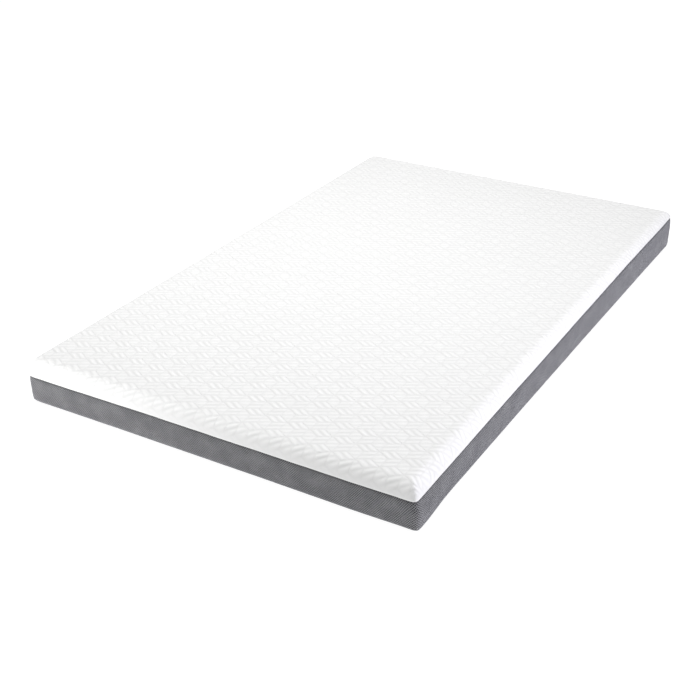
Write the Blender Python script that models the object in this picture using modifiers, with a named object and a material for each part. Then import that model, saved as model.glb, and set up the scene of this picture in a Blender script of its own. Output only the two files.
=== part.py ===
"""Pressure relief mattress: a zipped knit-and-mesh cover round a layered foam core.

Metres, +Z up. The origin is on the floor, under the middle of the mattress. X runs across
the mattress and Y along it. The zip crosses the far end, which faces +Y: its slider closes
it towards +X and opens it towards -X.

A depth is a distance inwards from the cover's outer face.
"""

import math

import bmesh
import bpy
from mathutils import Matrix, Vector

# The mattress
WIDTH = 1.200
LENGTH = 1.900
HEIGHT = 0.130
CORNER_RADIUS = 0.035
TOP_EDGE_RADIUS = 0.030
BOTTOM_EDGE_RADIUS = 0.012
SEAM_HEIGHT = 0.090
ROUND_SEGMENTS = 4

# The cover's cloths
TOP_CLOTH = 0.0025
TOP_WADDING = 0.006
BORDER_CLOTH = 0.0055
BORDER_LINING = 0.0015
BASE_CLOTH = 0.0055
SEAM_TAPE = 0.0012
SEAM_TAPE_WIDTH = 0.016

# The core
SLEEVE_CLOTH = 0.001
SLEEVE_HEM = 0.030
CORE_BOTTOM_RADIUS = 0.008
COMFORT_THICKNESS = 0.035
AIRFLOW_THICKNESS = 0.030
GROOVE_WIDTH = 0.008
GROOVE_DEPTH = 0.020
BLOCKS_ACROSS = 8
BLOCKS_ALONG = 12

# The zip
ZIP_HEIGHT = 0.034
ZIP_CORNER_MARGIN = 0.020
STRIP_OPENING = 0.014
ZIP_TAPE = 0.0008
ZIP_TAPE_WIDTH = 0.016
COIL_WIDTH = 0.0031
COIL_THICKNESS = 0.0026
CHAIN_GAP = 0.0016
STOP_LENGTH = 0.004
STOP_THICKNESS = 0.003
END_PATCH_LENGTH = 0.020
END_PATCH_THICKNESS = 0.0025

# The slider and its pull tab
SLIDER_LENGTH = 0.015
SLIDER_PLATE = 0.0013
SLIDER_WALL = 0.001
SLIDER_POST_LENGTH = 0.004
SLIDER_POST_WIDTH = 0.0009
BRIDGE_LENGTH = 0.0084
BRIDGE_WIDTH = 0.0032
BRIDGE_BAR = 0.0012
TAB_LENGTH = 0.030
TAB_WIDTH = 0.008
TAB_THICKNESS = 0.0016
TAB_END_RADIUS = 0.003

# The care label
LABEL_WIDTH = 0.030
LABEL_LENGTH = 0.040
LABEL_CLOTH = 0.0008
LABEL_X = -0.350

# Clearances
GAP = 0.0003
LAYER_GAP = 0.0005
RUN_CLEARANCE = 0.0004

# Places that follow from the sizes above
FAR_FACE = LENGTH / 2
TOP_STACK = TOP_CLOTH + TOP_WADDING + 2 * LAYER_GAP
LINING_DEPTH = BORDER_CLOTH + LAYER_GAP
SEAM_TAPE_DEPTH = LINING_DEPTH + BORDER_LINING + LAYER_GAP
SIDE_STACK = SEAM_TAPE_DEPTH + SEAM_TAPE + LAYER_GAP
BASE_STACK = BASE_CLOTH + SEAM_TAPE + 2 * LAYER_GAP

ZIP_TAPE_DEPTH = BORDER_CLOTH + GAP
COIL_BACK_DEPTH = ZIP_TAPE_DEPTH - GAP
COIL_FRONT_DEPTH = COIL_BACK_DEPTH - COIL_THICKNESS
CHAIN_HALF_WIDTH = CHAIN_GAP / 2 + COIL_WIDTH
SLIDER_FRONT_DEPTH = COIL_FRONT_DEPTH - RUN_CLEARANCE - SLIDER_PLATE
SLIDER_SLOT_DEPTH = ZIP_TAPE_DEPTH - RUN_CLEARANCE
SLIDER_INNER_DEPTH = ZIP_TAPE_DEPTH + ZIP_TAPE + RUN_CLEARANCE
SLIDER_BACK_DEPTH = SLIDER_INNER_DEPTH + SLIDER_PLATE
SLIDER_HALF_WIDTH = CHAIN_HALF_WIDTH + RUN_CLEARANCE + SLIDER_WALL
SPLIT_X = WIDTH / 2 - CORNER_RADIUS - ZIP_CORNER_MARGIN
STRIP_END_X = SPLIT_X - GAP
COIL_END_X = STRIP_END_X - END_PATCH_LENGTH - STOP_LENGTH - 2 * GAP
SLIDER_X = COIL_END_X - SLIDER_LENGTH / 2

# The tab turns on a round bar that fills the bridge's eye, less a running clearance.
TAB_AXIS_DEPTH = SLIDER_FRONT_DEPTH - RUN_CLEARANCE - TAB_THICKNESS / 2
BRIDGE_HEIGHT = TAB_THICKNESS + 2 * RUN_CLEARANCE + BRIDGE_BAR
BRIDGE_TOP_DEPTH = SLIDER_FRONT_DEPTH - BRIDGE_HEIGHT
TAB_WINDOW_REACH = math.hypot(BRIDGE_LENGTH / 2, TAB_AXIS_DEPTH - BRIDGE_TOP_DEPTH) + RUN_CLEARANCE
TAB_WINDOW_WIDTH = BRIDGE_WIDTH + 2 * RUN_CLEARANCE

# The border turns under to the edge of the base opening, which the base panel fills.
BASE_OPENING_DEPTH = BOTTOM_EDGE_RADIUS + GAP
BASE_DEPTH = BASE_OPENING_DEPTH + GAP

CORE_DEPTH = max(SIDE_STACK, TOP_STACK, SLIDER_BACK_DEPTH + RUN_CLEARANCE)
SLEEVE_LOW = max(BASE_STACK, SEAM_TAPE_DEPTH)
SLEEVE_HIGH = HEIGHT - TOP_STACK
FOAM_DEPTH = CORE_DEPTH + SLEEVE_CLOTH + LAYER_GAP
FOAM_LOW = SLEEVE_LOW + SLEEVE_CLOTH + LAYER_GAP
FOAM_HIGH = SLEEVE_HIGH - SLEEVE_CLOTH - LAYER_GAP
COMFORT_LOW = FOAM_HIGH - COMFORT_THICKNESS
AIRFLOW_HIGH = COMFORT_LOW - GAP
AIRFLOW_LOW = AIRFLOW_HIGH - AIRFLOW_THICKNESS
SUPPORT_HIGH = AIRFLOW_LOW - GAP

# Linear colour, roughness, metallic
KNIT = ((0.88, 0.88, 0.87), 0.85, 0.0)
WADDING = ((0.80, 0.80, 0.78), 0.95, 0.0)
MESH = ((0.20, 0.20, 0.215), 0.80, 0.0)
LINING = ((0.45, 0.45, 0.46), 0.90, 0.0)
NON_SLIP = ((0.16, 0.16, 0.17), 0.85, 0.0)
WEBBING = ((0.22, 0.22, 0.23), 0.80, 0.0)
STOCKINETTE = ((0.78, 0.77, 0.74), 0.90, 0.0)
COMFORT_FOAM = ((0.72, 0.78, 0.80), 0.95, 0.0)
AIRFLOW_FOAM = ((0.78, 0.74, 0.62), 0.95, 0.0)
SUPPORT_FOAM = ((0.62, 0.62, 0.60), 0.95, 0.0)
NYLON = ((0.12, 0.12, 0.13), 0.40, 0.0)
ZINC = ((0.30, 0.30, 0.31), 0.35, 1.0)
LABEL = ((0.85, 0.85, 0.85), 0.70, 0.0)


def clear_scene():
    """Remove every object, so that the script can run again."""
    for obj in list(bpy.data.objects):
        bpy.data.objects.remove(obj, do_unlink=True)


def new_collection(name):
    """Return a new collection, linked to the scene."""
    collection = bpy.data.collections.new(name)
    bpy.context.scene.collection.children.link(collection)
    return collection


def new_material(name, finish):
    """Return a Principled material of the given colour, roughness and metallic value."""
    colour, roughness, metallic = finish
    material = bpy.data.materials.new(name)
    material.use_nodes = True
    shader = material.node_tree.nodes["Principled BSDF"]
    shader.inputs["Base Color"].default_value = (*colour, 1.0)
    shader.inputs["Roughness"].default_value = roughness
    shader.inputs["Metallic"].default_value = metallic
    return material


def add_object(name, bm, finish, place=(0.0, 0.0, 0.0)):
    """Turn a bmesh into a named part at a place."""
    mesh = bpy.data.meshes.new(name)
    bm.to_mesh(mesh)
    bm.free()
    mesh.materials.append(new_material(name, finish))
    obj = bpy.data.objects.new(name, mesh)
    obj.location = place
    parts.objects.link(obj)
    return obj


def add_tool(name, bm, place=(0.0, 0.0, 0.0)):
    """Turn a bmesh into a hidden object that a Boolean uses."""
    mesh = bpy.data.meshes.new(name)
    bm.to_mesh(mesh)
    bm.free()
    obj = bpy.data.objects.new(name, mesh)
    obj.location = place
    obj.hide_render = True
    obj.display_type = "WIRE"
    tools.objects.link(obj)
    return obj


def combine(obj, tool, operation):
    """Cut an object with a tool, or join the tool to it."""
    modifier = obj.modifiers.new(tool.name, "BOOLEAN")
    modifier.operation = operation
    modifier.solver = "EXACT"
    modifier.object = tool


def solidify(obj, thickness):
    """Give an open surface a thickness, inwards from its outer face."""
    modifier = obj.modifiers.new("cloth", "SOLIDIFY")
    modifier.thickness = thickness
    modifier.offset = -1.0
    modifier.use_even_offset = True


def box_mesh(low, high):
    """Return a bmesh box between two corners."""
    low = Vector(low)
    high = Vector(high)
    bm = bmesh.new()
    bmesh.ops.create_cube(bm, size=1.0)
    bmesh.ops.scale(bm, vec=high - low, verts=bm.verts)
    bmesh.ops.translate(bm, vec=(low + high) / 2, verts=bm.verts)
    return bm


def far_end_box(x_span, depth_span, height_span):
    """Return a bmesh box in the far end, between two depths behind the border's outer face."""
    low = (x_span[0], FAR_FACE - depth_span[1], height_span[0])
    high = (x_span[1], FAR_FACE - depth_span[0], height_span[1])
    return box_mesh(low, high)


def round_edges(bm, edges, radius):
    """Round the given edges."""
    bmesh.ops.bevel(
        bm,
        geom=edges,
        offset=radius,
        offset_type="OFFSET",
        segments=ROUND_SEGMENTS,
        profile=0.5,
        affect="EDGES",
        clamp_overlap=False,
    )


def upright_edges(bm):
    """Return the edges that run along Z."""
    return [e for e in bm.edges if (e.verts[0].co - e.verts[1].co).xy.length < 1e-6]


def level_edges(bm, height):
    """Return the edges that lie at one height."""
    return [e for e in bm.edges if all(abs(v.co.z - height) < 1e-6 for v in e.verts)]


def rounded_block(depth, low, high, top_radius=0.0, bottom_radius=0.0):
    """Return a bmesh block, a depth inside the cover all round, with rounded corners."""
    half_width = WIDTH / 2 - depth
    half_length = LENGTH / 2 - depth
    bm = box_mesh((-half_width, -half_length, low), (half_width, half_length, high))
    round_edges(bm, upright_edges(bm), CORNER_RADIUS - depth)
    if top_radius:
        round_edges(bm, level_edges(bm, high), top_radius)
    if bottom_radius:
        round_edges(bm, level_edges(bm, low), bottom_radius)
    return bm


def slice_at(bm, point, normal, drop_front=False):
    """Cut a surface along a plane, and drop what lies in front of it if asked."""
    geometry = bm.verts[:] + bm.edges[:] + bm.faces[:]
    bmesh.ops.bisect_plane(bm, geom=geometry, plane_co=point, plane_no=normal, clear_outer=drop_front)


def drop_faces(bm, unwanted):
    """Delete the faces whose centre the given test picks."""
    faces = [f for f in bm.faces if unwanted(f.calc_center_median())]
    bmesh.ops.delete(bm, geom=faces, context="FACES")


def cover_surface(depth, low, high):
    """Return the cover's outer surface, moved in by a depth, between two heights."""
    bm = rounded_block(depth, depth, HEIGHT - depth, TOP_EDGE_RADIUS - depth, BOTTOM_EDGE_RADIUS - depth)
    if high < HEIGHT:
        slice_at(bm, (0, 0, high), (0, 0, 1), drop_front=True)
    if low > 0:
        slice_at(bm, (0, 0, low), (0, 0, -1), drop_front=True)
    return bm


def make_top():
    """The knit panel, which turns down over the edge to its seam, and the filling behind it."""
    panel = add_object("top_panel", cover_surface(0.0, SEAM_HEIGHT + GAP, HEIGHT), KNIT)
    solidify(panel, TOP_CLOTH)
    low = SEAM_HEIGHT + SEAM_TAPE_WIDTH / 2 + LAYER_GAP
    wadding = add_object("top_wadding", cover_surface(TOP_CLOTH + LAYER_GAP, low, HEIGHT), WADDING)
    solidify(wadding, TOP_WADDING)


def three_sides(depth):
    """Return the border's surface round the near end, both long sides and the far corners."""
    bm = cover_surface(depth, 0.0, SEAM_HEIGHT)
    slice_at(bm, (SPLIT_X, 0, 0), (1, 0, 0))
    slice_at(bm, (-SPLIT_X, 0, 0), (1, 0, 0))
    slice_at(bm, (0, 0, 0), (0, 1, 0))
    drop_faces(bm, lambda centre: abs(centre.x) < SPLIT_X and centre.y > 0)
    return bm


def far_strip(low, high):
    """Return the border's surface across the far end, between two heights."""
    bm = cover_surface(0.0, low, high)
    slice_at(bm, (STRIP_END_X, 0, 0), (1, 0, 0), drop_front=True)
    slice_at(bm, (-STRIP_END_X, 0, 0), (-1, 0, 0), drop_front=True)
    slice_at(bm, (0, 0, 0), (0, -1, 0), drop_front=True)
    return bm


def make_border():
    """The mesh border, its lining, and the two strips that the zip joins at the far end."""
    zip_low = ZIP_HEIGHT - STRIP_OPENING / 2
    zip_high = ZIP_HEIGHT + STRIP_OPENING / 2
    band = add_object("border_band", three_sides(0.0), MESH)
    lining = add_object("border_lining", three_sides(LINING_DEPTH), LINING)
    upper = add_object("border_upper_strip", far_strip(zip_high, SEAM_HEIGHT), MESH)
    lower = add_object("border_lower_strip", far_strip(0.0, zip_low), MESH)
    solidify(upper, BORDER_CLOTH)
    block = rounded_block(BASE_OPENING_DEPTH, -BOTTOM_EDGE_RADIUS, BOTTOM_EDGE_RADIUS)
    opening = add_tool("base_opening", block)
    for piece, thickness in ((band, BORDER_CLOTH), (lining, BORDER_LINING), (lower, BORDER_CLOTH)):
        solidify(piece, thickness)
        combine(piece, opening, "DIFFERENCE")


def make_base():
    """The non-slip panel that the mattress rests on."""
    add_object("base_panel", rounded_block(BASE_DEPTH, 0.0, BASE_CLOTH), NON_SLIP)


def make_seam_tapes():
    """The tapes that bind the top seam and the base seam on the inside."""
    low = SEAM_HEIGHT - SEAM_TAPE_WIDTH / 2
    high = SEAM_HEIGHT + SEAM_TAPE_WIDTH / 2
    bm = rounded_block(SEAM_TAPE_DEPTH, low, high)
    drop_faces(bm, lambda centre: abs(centre.z - SEAM_HEIGHT) > SEAM_TAPE_WIDTH / 4)
    solidify(add_object("top_seam_tape", bm, WEBBING), SEAM_TAPE)
    low = BASE_CLOTH + LAYER_GAP
    ring = add_object("base_seam_tape", rounded_block(BASE_DEPTH, low, low + SEAM_TAPE), WEBBING)
    inside = rounded_block(BASE_DEPTH + SEAM_TAPE_WIDTH, 0.0, 2 * BASE_STACK)
    combine(ring, add_tool("base_seam_tape_inside", inside), "DIFFERENCE")


def make_sleeve():
    """The stretch sleeve, whose hem turns in over the edges of the core's far end."""
    top_radius = TOP_EDGE_RADIUS - TOP_STACK
    bm = rounded_block(CORE_DEPTH, SLEEVE_LOW, SLEEVE_HIGH, top_radius, CORE_BOTTOM_RADIUS)
    mouth_x = WIDTH / 2 - CORE_DEPTH - max(SLEEVE_HEM, CORNER_RADIUS)
    mouth_low = SLEEVE_LOW + SLEEVE_HEM
    mouth_high = SLEEVE_HIGH - SLEEVE_HEM
    slice_at(bm, (mouth_x, 0, 0), (1, 0, 0))
    slice_at(bm, (-mouth_x, 0, 0), (1, 0, 0))
    slice_at(bm, (0, 0, mouth_low), (0, 0, 1))
    slice_at(bm, (0, 0, mouth_high), (0, 0, 1))
    end = FAR_FACE - CORE_DEPTH - 1e-6
    drop_faces(bm, lambda c: c.y > end and abs(c.x) < mouth_x and mouth_low < c.z < mouth_high)
    solidify(add_object("inner_sleeve", bm, STOCKINETTE), SLEEVE_CLOTH)


def cut_grooves(layer, count, step, groove_size):
    """Cut a row of equal grooves into a layer's top, centred on the mattress."""
    top = AIRFLOW_HIGH + LAYER_GAP
    bottom = AIRFLOW_HIGH - GROOVE_DEPTH
    half = groove_size / 2
    first = -step * (count - 1) / 2
    bm = box_mesh((-half.x, -half.y, bottom), (half.x, half.y, top))
    cutter = add_tool("grooves_along" if step.x else "grooves_across", bm, first)
    row = cutter.modifiers.new("row", "ARRAY")
    row.use_relative_offset = False
    row.use_constant_offset = True
    row.constant_offset_displace = step
    row.count = count
    combine(layer, cutter, "DIFFERENCE")


def make_core():
    """The three foam layers: firm support, the grooved airflow layer and the soft comfort layer."""
    top_radius = TOP_EDGE_RADIUS - TOP_STACK - SLEEVE_CLOTH - LAYER_GAP
    bottom_radius = CORE_BOTTOM_RADIUS - SLEEVE_CLOTH - LAYER_GAP
    comfort = rounded_block(FOAM_DEPTH, COMFORT_LOW, FOAM_HIGH, top_radius=top_radius)
    add_object("comfort_layer", comfort, COMFORT_FOAM)
    support = rounded_block(FOAM_DEPTH, FOAM_LOW, SUPPORT_HIGH, bottom_radius=bottom_radius)
    add_object("support_layer", support, SUPPORT_FOAM)
    airflow = add_object("airflow_layer", rounded_block(FOAM_DEPTH, AIRFLOW_LOW, AIRFLOW_HIGH), AIRFLOW_FOAM)
    pitch_x = (WIDTH - 2 * FOAM_DEPTH) / BLOCKS_ACROSS
    pitch_y = (LENGTH - 2 * FOAM_DEPTH) / BLOCKS_ALONG
    cut_grooves(airflow, BLOCKS_ACROSS - 1, Vector((pitch_x, 0, 0)), Vector((GROOVE_WIDTH, LENGTH, 0)))
    cut_grooves(airflow, BLOCKS_ALONG - 1, Vector((0, pitch_y, 0)), Vector((WIDTH, GROOVE_WIDTH, 0)))


def side_of_zip(side, inner, outer):
    """Return a height span between two distances above (side 1) or below (side -1) the zip."""
    return sorted((ZIP_HEIGHT + side * inner, ZIP_HEIGHT + side * outer))


def make_zip_chain():
    """The two tapes with their coils and stops, and the patches over the zip's ends."""
    coil_depths = (COIL_FRONT_DEPTH, COIL_BACK_DEPTH)
    stop_depths = (COIL_BACK_DEPTH - STOP_THICKNESS, COIL_BACK_DEPTH)
    stop_x = COIL_END_X + GAP
    for side, word in ((1, "upper"), (-1, "lower")):
        tape_heights = side_of_zip(side, CHAIN_GAP / 2, CHAIN_GAP / 2 + ZIP_TAPE_WIDTH)
        tape_depths = (ZIP_TAPE_DEPTH, ZIP_TAPE_DEPTH + ZIP_TAPE)
        tape = far_end_box((-STRIP_END_X, STRIP_END_X), tape_depths, tape_heights)
        add_object("zip_tape_" + word, tape, WEBBING)
        coil_heights = side_of_zip(side, CHAIN_GAP / 2, CHAIN_HALF_WIDTH)
        coil = far_end_box((-COIL_END_X, COIL_END_X), coil_depths, coil_heights)
        add_object("zip_coil_" + word, coil, NYLON)
        stop = far_end_box((stop_x, stop_x + STOP_LENGTH), stop_depths, coil_heights)
        add_object("zip_top_stop_" + word, stop, ZINC)
    heights = (ZIP_HEIGHT - CHAIN_HALF_WIDTH, ZIP_HEIGHT + CHAIN_HALF_WIDTH)
    bottom_stop = far_end_box((-stop_x - STOP_LENGTH, -stop_x), stop_depths, heights)
    add_object("zip_bottom_stop", bottom_stop, ZINC)
    patch_x = stop_x + STOP_LENGTH + GAP
    patch_depths = (COIL_BACK_DEPTH - END_PATCH_THICKNESS, COIL_BACK_DEPTH)
    half = STRIP_OPENING / 2 - GAP
    patch_heights = (ZIP_HEIGHT - half, ZIP_HEIGHT + half)
    left = far_end_box((-STRIP_END_X, -patch_x), patch_depths, patch_heights)
    add_object("zip_end_patch_left", left, WEBBING)
    right = far_end_box((patch_x, STRIP_END_X), patch_depths, patch_heights)
    add_object("zip_end_patch_right", right, WEBBING)


def slider_box(x_span, depth_span, half_width):
    """Return a bmesh box in the slider's own frame, whose origin is the middle of its front face."""
    low = (x_span[0], SLIDER_FRONT_DEPTH - depth_span[1], -half_width)
    high = (x_span[1], SLIDER_FRONT_DEPTH - depth_span[0], half_width)
    return box_mesh(low, high)


def make_slider():
    """The slider: two plates on a post, walls that hold the coils, and the pull tab's bridge."""
    place = (SLIDER_X, FAR_FACE - SLIDER_FRONT_DEPTH, ZIP_HEIGHT)
    half_length = SLIDER_LENGTH / 2
    ends = (-half_length, half_length)
    past_ends = (-SLIDER_LENGTH, SLIDER_LENGTH)
    body = slider_box(ends, (SLIDER_FRONT_DEPTH, SLIDER_BACK_DEPTH), SLIDER_HALF_WIDTH)
    round_edges(body, [e for e in body.edges if abs((e.verts[0].co - e.verts[1].co).y) > 1e-6], SLIDER_WALL)
    slider = add_object("zip_slider", body, ZINC, place)

    channel_depths = (SLIDER_FRONT_DEPTH + SLIDER_PLATE, SLIDER_INNER_DEPTH)
    channel = slider_box(past_ends, channel_depths, CHAIN_HALF_WIDTH + RUN_CLEARANCE)
    combine(slider, add_tool("coil_channel", channel, place), "DIFFERENCE")
    slot = slider_box(past_ends, (SLIDER_SLOT_DEPTH, SLIDER_INNER_DEPTH), 2 * SLIDER_HALF_WIDTH)
    combine(slider, add_tool("tape_slot", slot, place), "DIFFERENCE")

    bite = SLIDER_PLATE / 2
    post_depths = (channel_depths[0] - bite, SLIDER_INNER_DEPTH + bite)
    post_x = (half_length - SLIDER_WALL - SLIDER_POST_LENGTH, half_length - SLIDER_WALL)
    post = slider_box(post_x, post_depths, SLIDER_POST_WIDTH / 2)
    combine(slider, add_tool("slider_post", post, place), "UNION")

    half_bridge = BRIDGE_LENGTH / 2
    bridge_depths = (BRIDGE_TOP_DEPTH, SLIDER_FRONT_DEPTH + bite)
    bridge = slider_box((-half_bridge, half_bridge), bridge_depths, BRIDGE_WIDTH / 2)
    combine(slider, add_tool("tab_bridge", bridge, place), "UNION")
    eye_depths = (BRIDGE_TOP_DEPTH + BRIDGE_BAR, SLIDER_FRONT_DEPTH)
    half_eye = half_bridge - BRIDGE_BAR
    eye = slider_box((-half_eye, half_eye), eye_depths, BRIDGE_WIDTH)
    combine(slider, add_tool("bridge_eye", eye, place), "DIFFERENCE")


def make_pull_tab():
    """The pull tab, whose end bar turns in the bridge's eye and whose window clears the bridge."""
    place = (SLIDER_X, FAR_FACE - TAB_AXIS_DEPTH, ZIP_HEIGHT)
    half_thickness = TAB_THICKNESS / 2
    plate = box_mesh((-TAB_LENGTH, -half_thickness, -TAB_WIDTH / 2), (0.0, half_thickness, TAB_WIDTH / 2))
    tip = [e for e in plate.edges if all(v.co.x < -TAB_LENGTH / 2 for v in e.verts)]
    tip = [e for e in tip if abs((e.verts[0].co - e.verts[1].co).y) > 1e-6]
    round_edges(plate, tip, TAB_END_RADIUS)
    tab = add_object("zip_pull_tab", plate, ZINC, place)

    half_window = TAB_WINDOW_WIDTH / 2
    window_low = (-TAB_WINDOW_REACH, -TAB_THICKNESS, -half_window)
    window = box_mesh(window_low, (TAB_THICKNESS, TAB_THICKNESS, half_window))
    combine(tab, add_tool("tab_window", window, place), "DIFFERENCE")
    bar = bmesh.new()
    bmesh.ops.create_cone(
        bar, cap_ends=True, segments=12, radius1=half_thickness, radius2=half_thickness, depth=TAB_WIDTH
    )
    bmesh.ops.rotate(bar, matrix=Matrix.Rotation(math.radians(15), 3, "Z"), verts=bar.verts)
    combine(tab, add_tool("tab_bar", bar, place), "UNION")


def make_label():
    """The blank care label, held in the top seam and hanging over the far end's border."""
    x_span = (LABEL_X - LABEL_WIDTH / 2, LABEL_X + LABEL_WIDTH / 2)
    top = SEAM_HEIGHT - GAP
    label = far_end_box(x_span, (-GAP - LABEL_CLOTH, -GAP), (top - LABEL_LENGTH, top))
    add_object("care_label", label, LABEL)


clear_scene()
parts = new_collection("pressure_relief_mattress")
tools = new_collection("cutters")
make_top()
make_border()
make_base()
make_seam_tapes()
make_sleeve()
make_core()
make_zip_chain()
make_slider()
make_pull_tab()
make_label()
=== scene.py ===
"""Looks of the pressure relief mattress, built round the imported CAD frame.

Metres, +Z up, in the CAD's own frame. A depth is a distance inwards from the cover's outer
face. A run is a length along the cloth, from the edge of the flat top outwards, down the
side and under. A lap is a length round the mattress, from the middle of the far end.
"""

import logging
import math
from collections.abc import Callable
from dataclasses import dataclass
from enum import Enum
from typing import Any

import bpy
import numpy as np
from mathutils import Euler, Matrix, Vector


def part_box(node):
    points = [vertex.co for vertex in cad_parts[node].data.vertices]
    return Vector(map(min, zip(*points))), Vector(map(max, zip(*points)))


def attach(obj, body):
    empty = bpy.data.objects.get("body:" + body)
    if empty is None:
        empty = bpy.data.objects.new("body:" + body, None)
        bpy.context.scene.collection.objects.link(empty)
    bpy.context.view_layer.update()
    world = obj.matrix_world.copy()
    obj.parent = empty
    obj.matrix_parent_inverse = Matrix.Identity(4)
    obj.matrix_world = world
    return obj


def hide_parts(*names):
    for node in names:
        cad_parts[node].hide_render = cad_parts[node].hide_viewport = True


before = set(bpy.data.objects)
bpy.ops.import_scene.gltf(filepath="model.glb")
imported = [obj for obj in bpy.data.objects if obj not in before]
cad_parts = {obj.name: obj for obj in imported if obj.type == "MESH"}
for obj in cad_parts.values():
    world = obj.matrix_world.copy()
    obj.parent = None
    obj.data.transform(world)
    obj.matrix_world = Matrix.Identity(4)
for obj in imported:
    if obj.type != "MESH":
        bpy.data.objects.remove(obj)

logging.basicConfig(level=logging.INFO, format="%(message)s")
log = logging.getLogger("mattress")

Colour = tuple[float, float, float]
Point = tuple[float, float, float]
Row = np.ndarray
Runs = Callable[[Row, Row], tuple[Row, Row]]

ROOT_3 = math.sqrt(3.0)
# The body that every new piece rides on.
MATTRESS = "mattress"
# Distances in metres below which two places count as one, strictly and loosely.
SAME = 1e-6
CLOSE = 1e-5
# Keeps a division by a length of nothing in range.
TINY = 1e-9


class Coordinates(Enum):
    """Where a finish reads its place on a piece."""

    OBJECT = "object"
    CLOTH = "cloth"


# ---------------------------------------------------------------- shader maths


class Level:
    """A number that changes over a surface; Python's operators add the Math nodes."""

    def __init__(self, recipe: "Recipe", socket: bpy.types.NodeSocket) -> None:
        """Wrap a socket of a recipe's node."""
        self.recipe = recipe
        self.socket = socket

    def __add__(self, other: "Number") -> "Level":
        """Add."""
        return self.recipe.math("ADD", self, other)

    __radd__ = __add__

    def __sub__(self, other: "Number") -> "Level":
        """Subtract."""
        return self.recipe.math("SUBTRACT", self, other)

    def __rsub__(self, other: "Number") -> "Level":
        """Subtract from a number."""
        return self.recipe.math("SUBTRACT", other, self)

    def __mul__(self, other: "Number") -> "Level":
        """Multiply."""
        return self.recipe.math("MULTIPLY", self, other)

    __rmul__ = __mul__

    def __truediv__(self, other: "Number") -> "Level":
        """Divide."""
        return self.recipe.math("DIVIDE", self, other)


Number = Level | float


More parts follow.
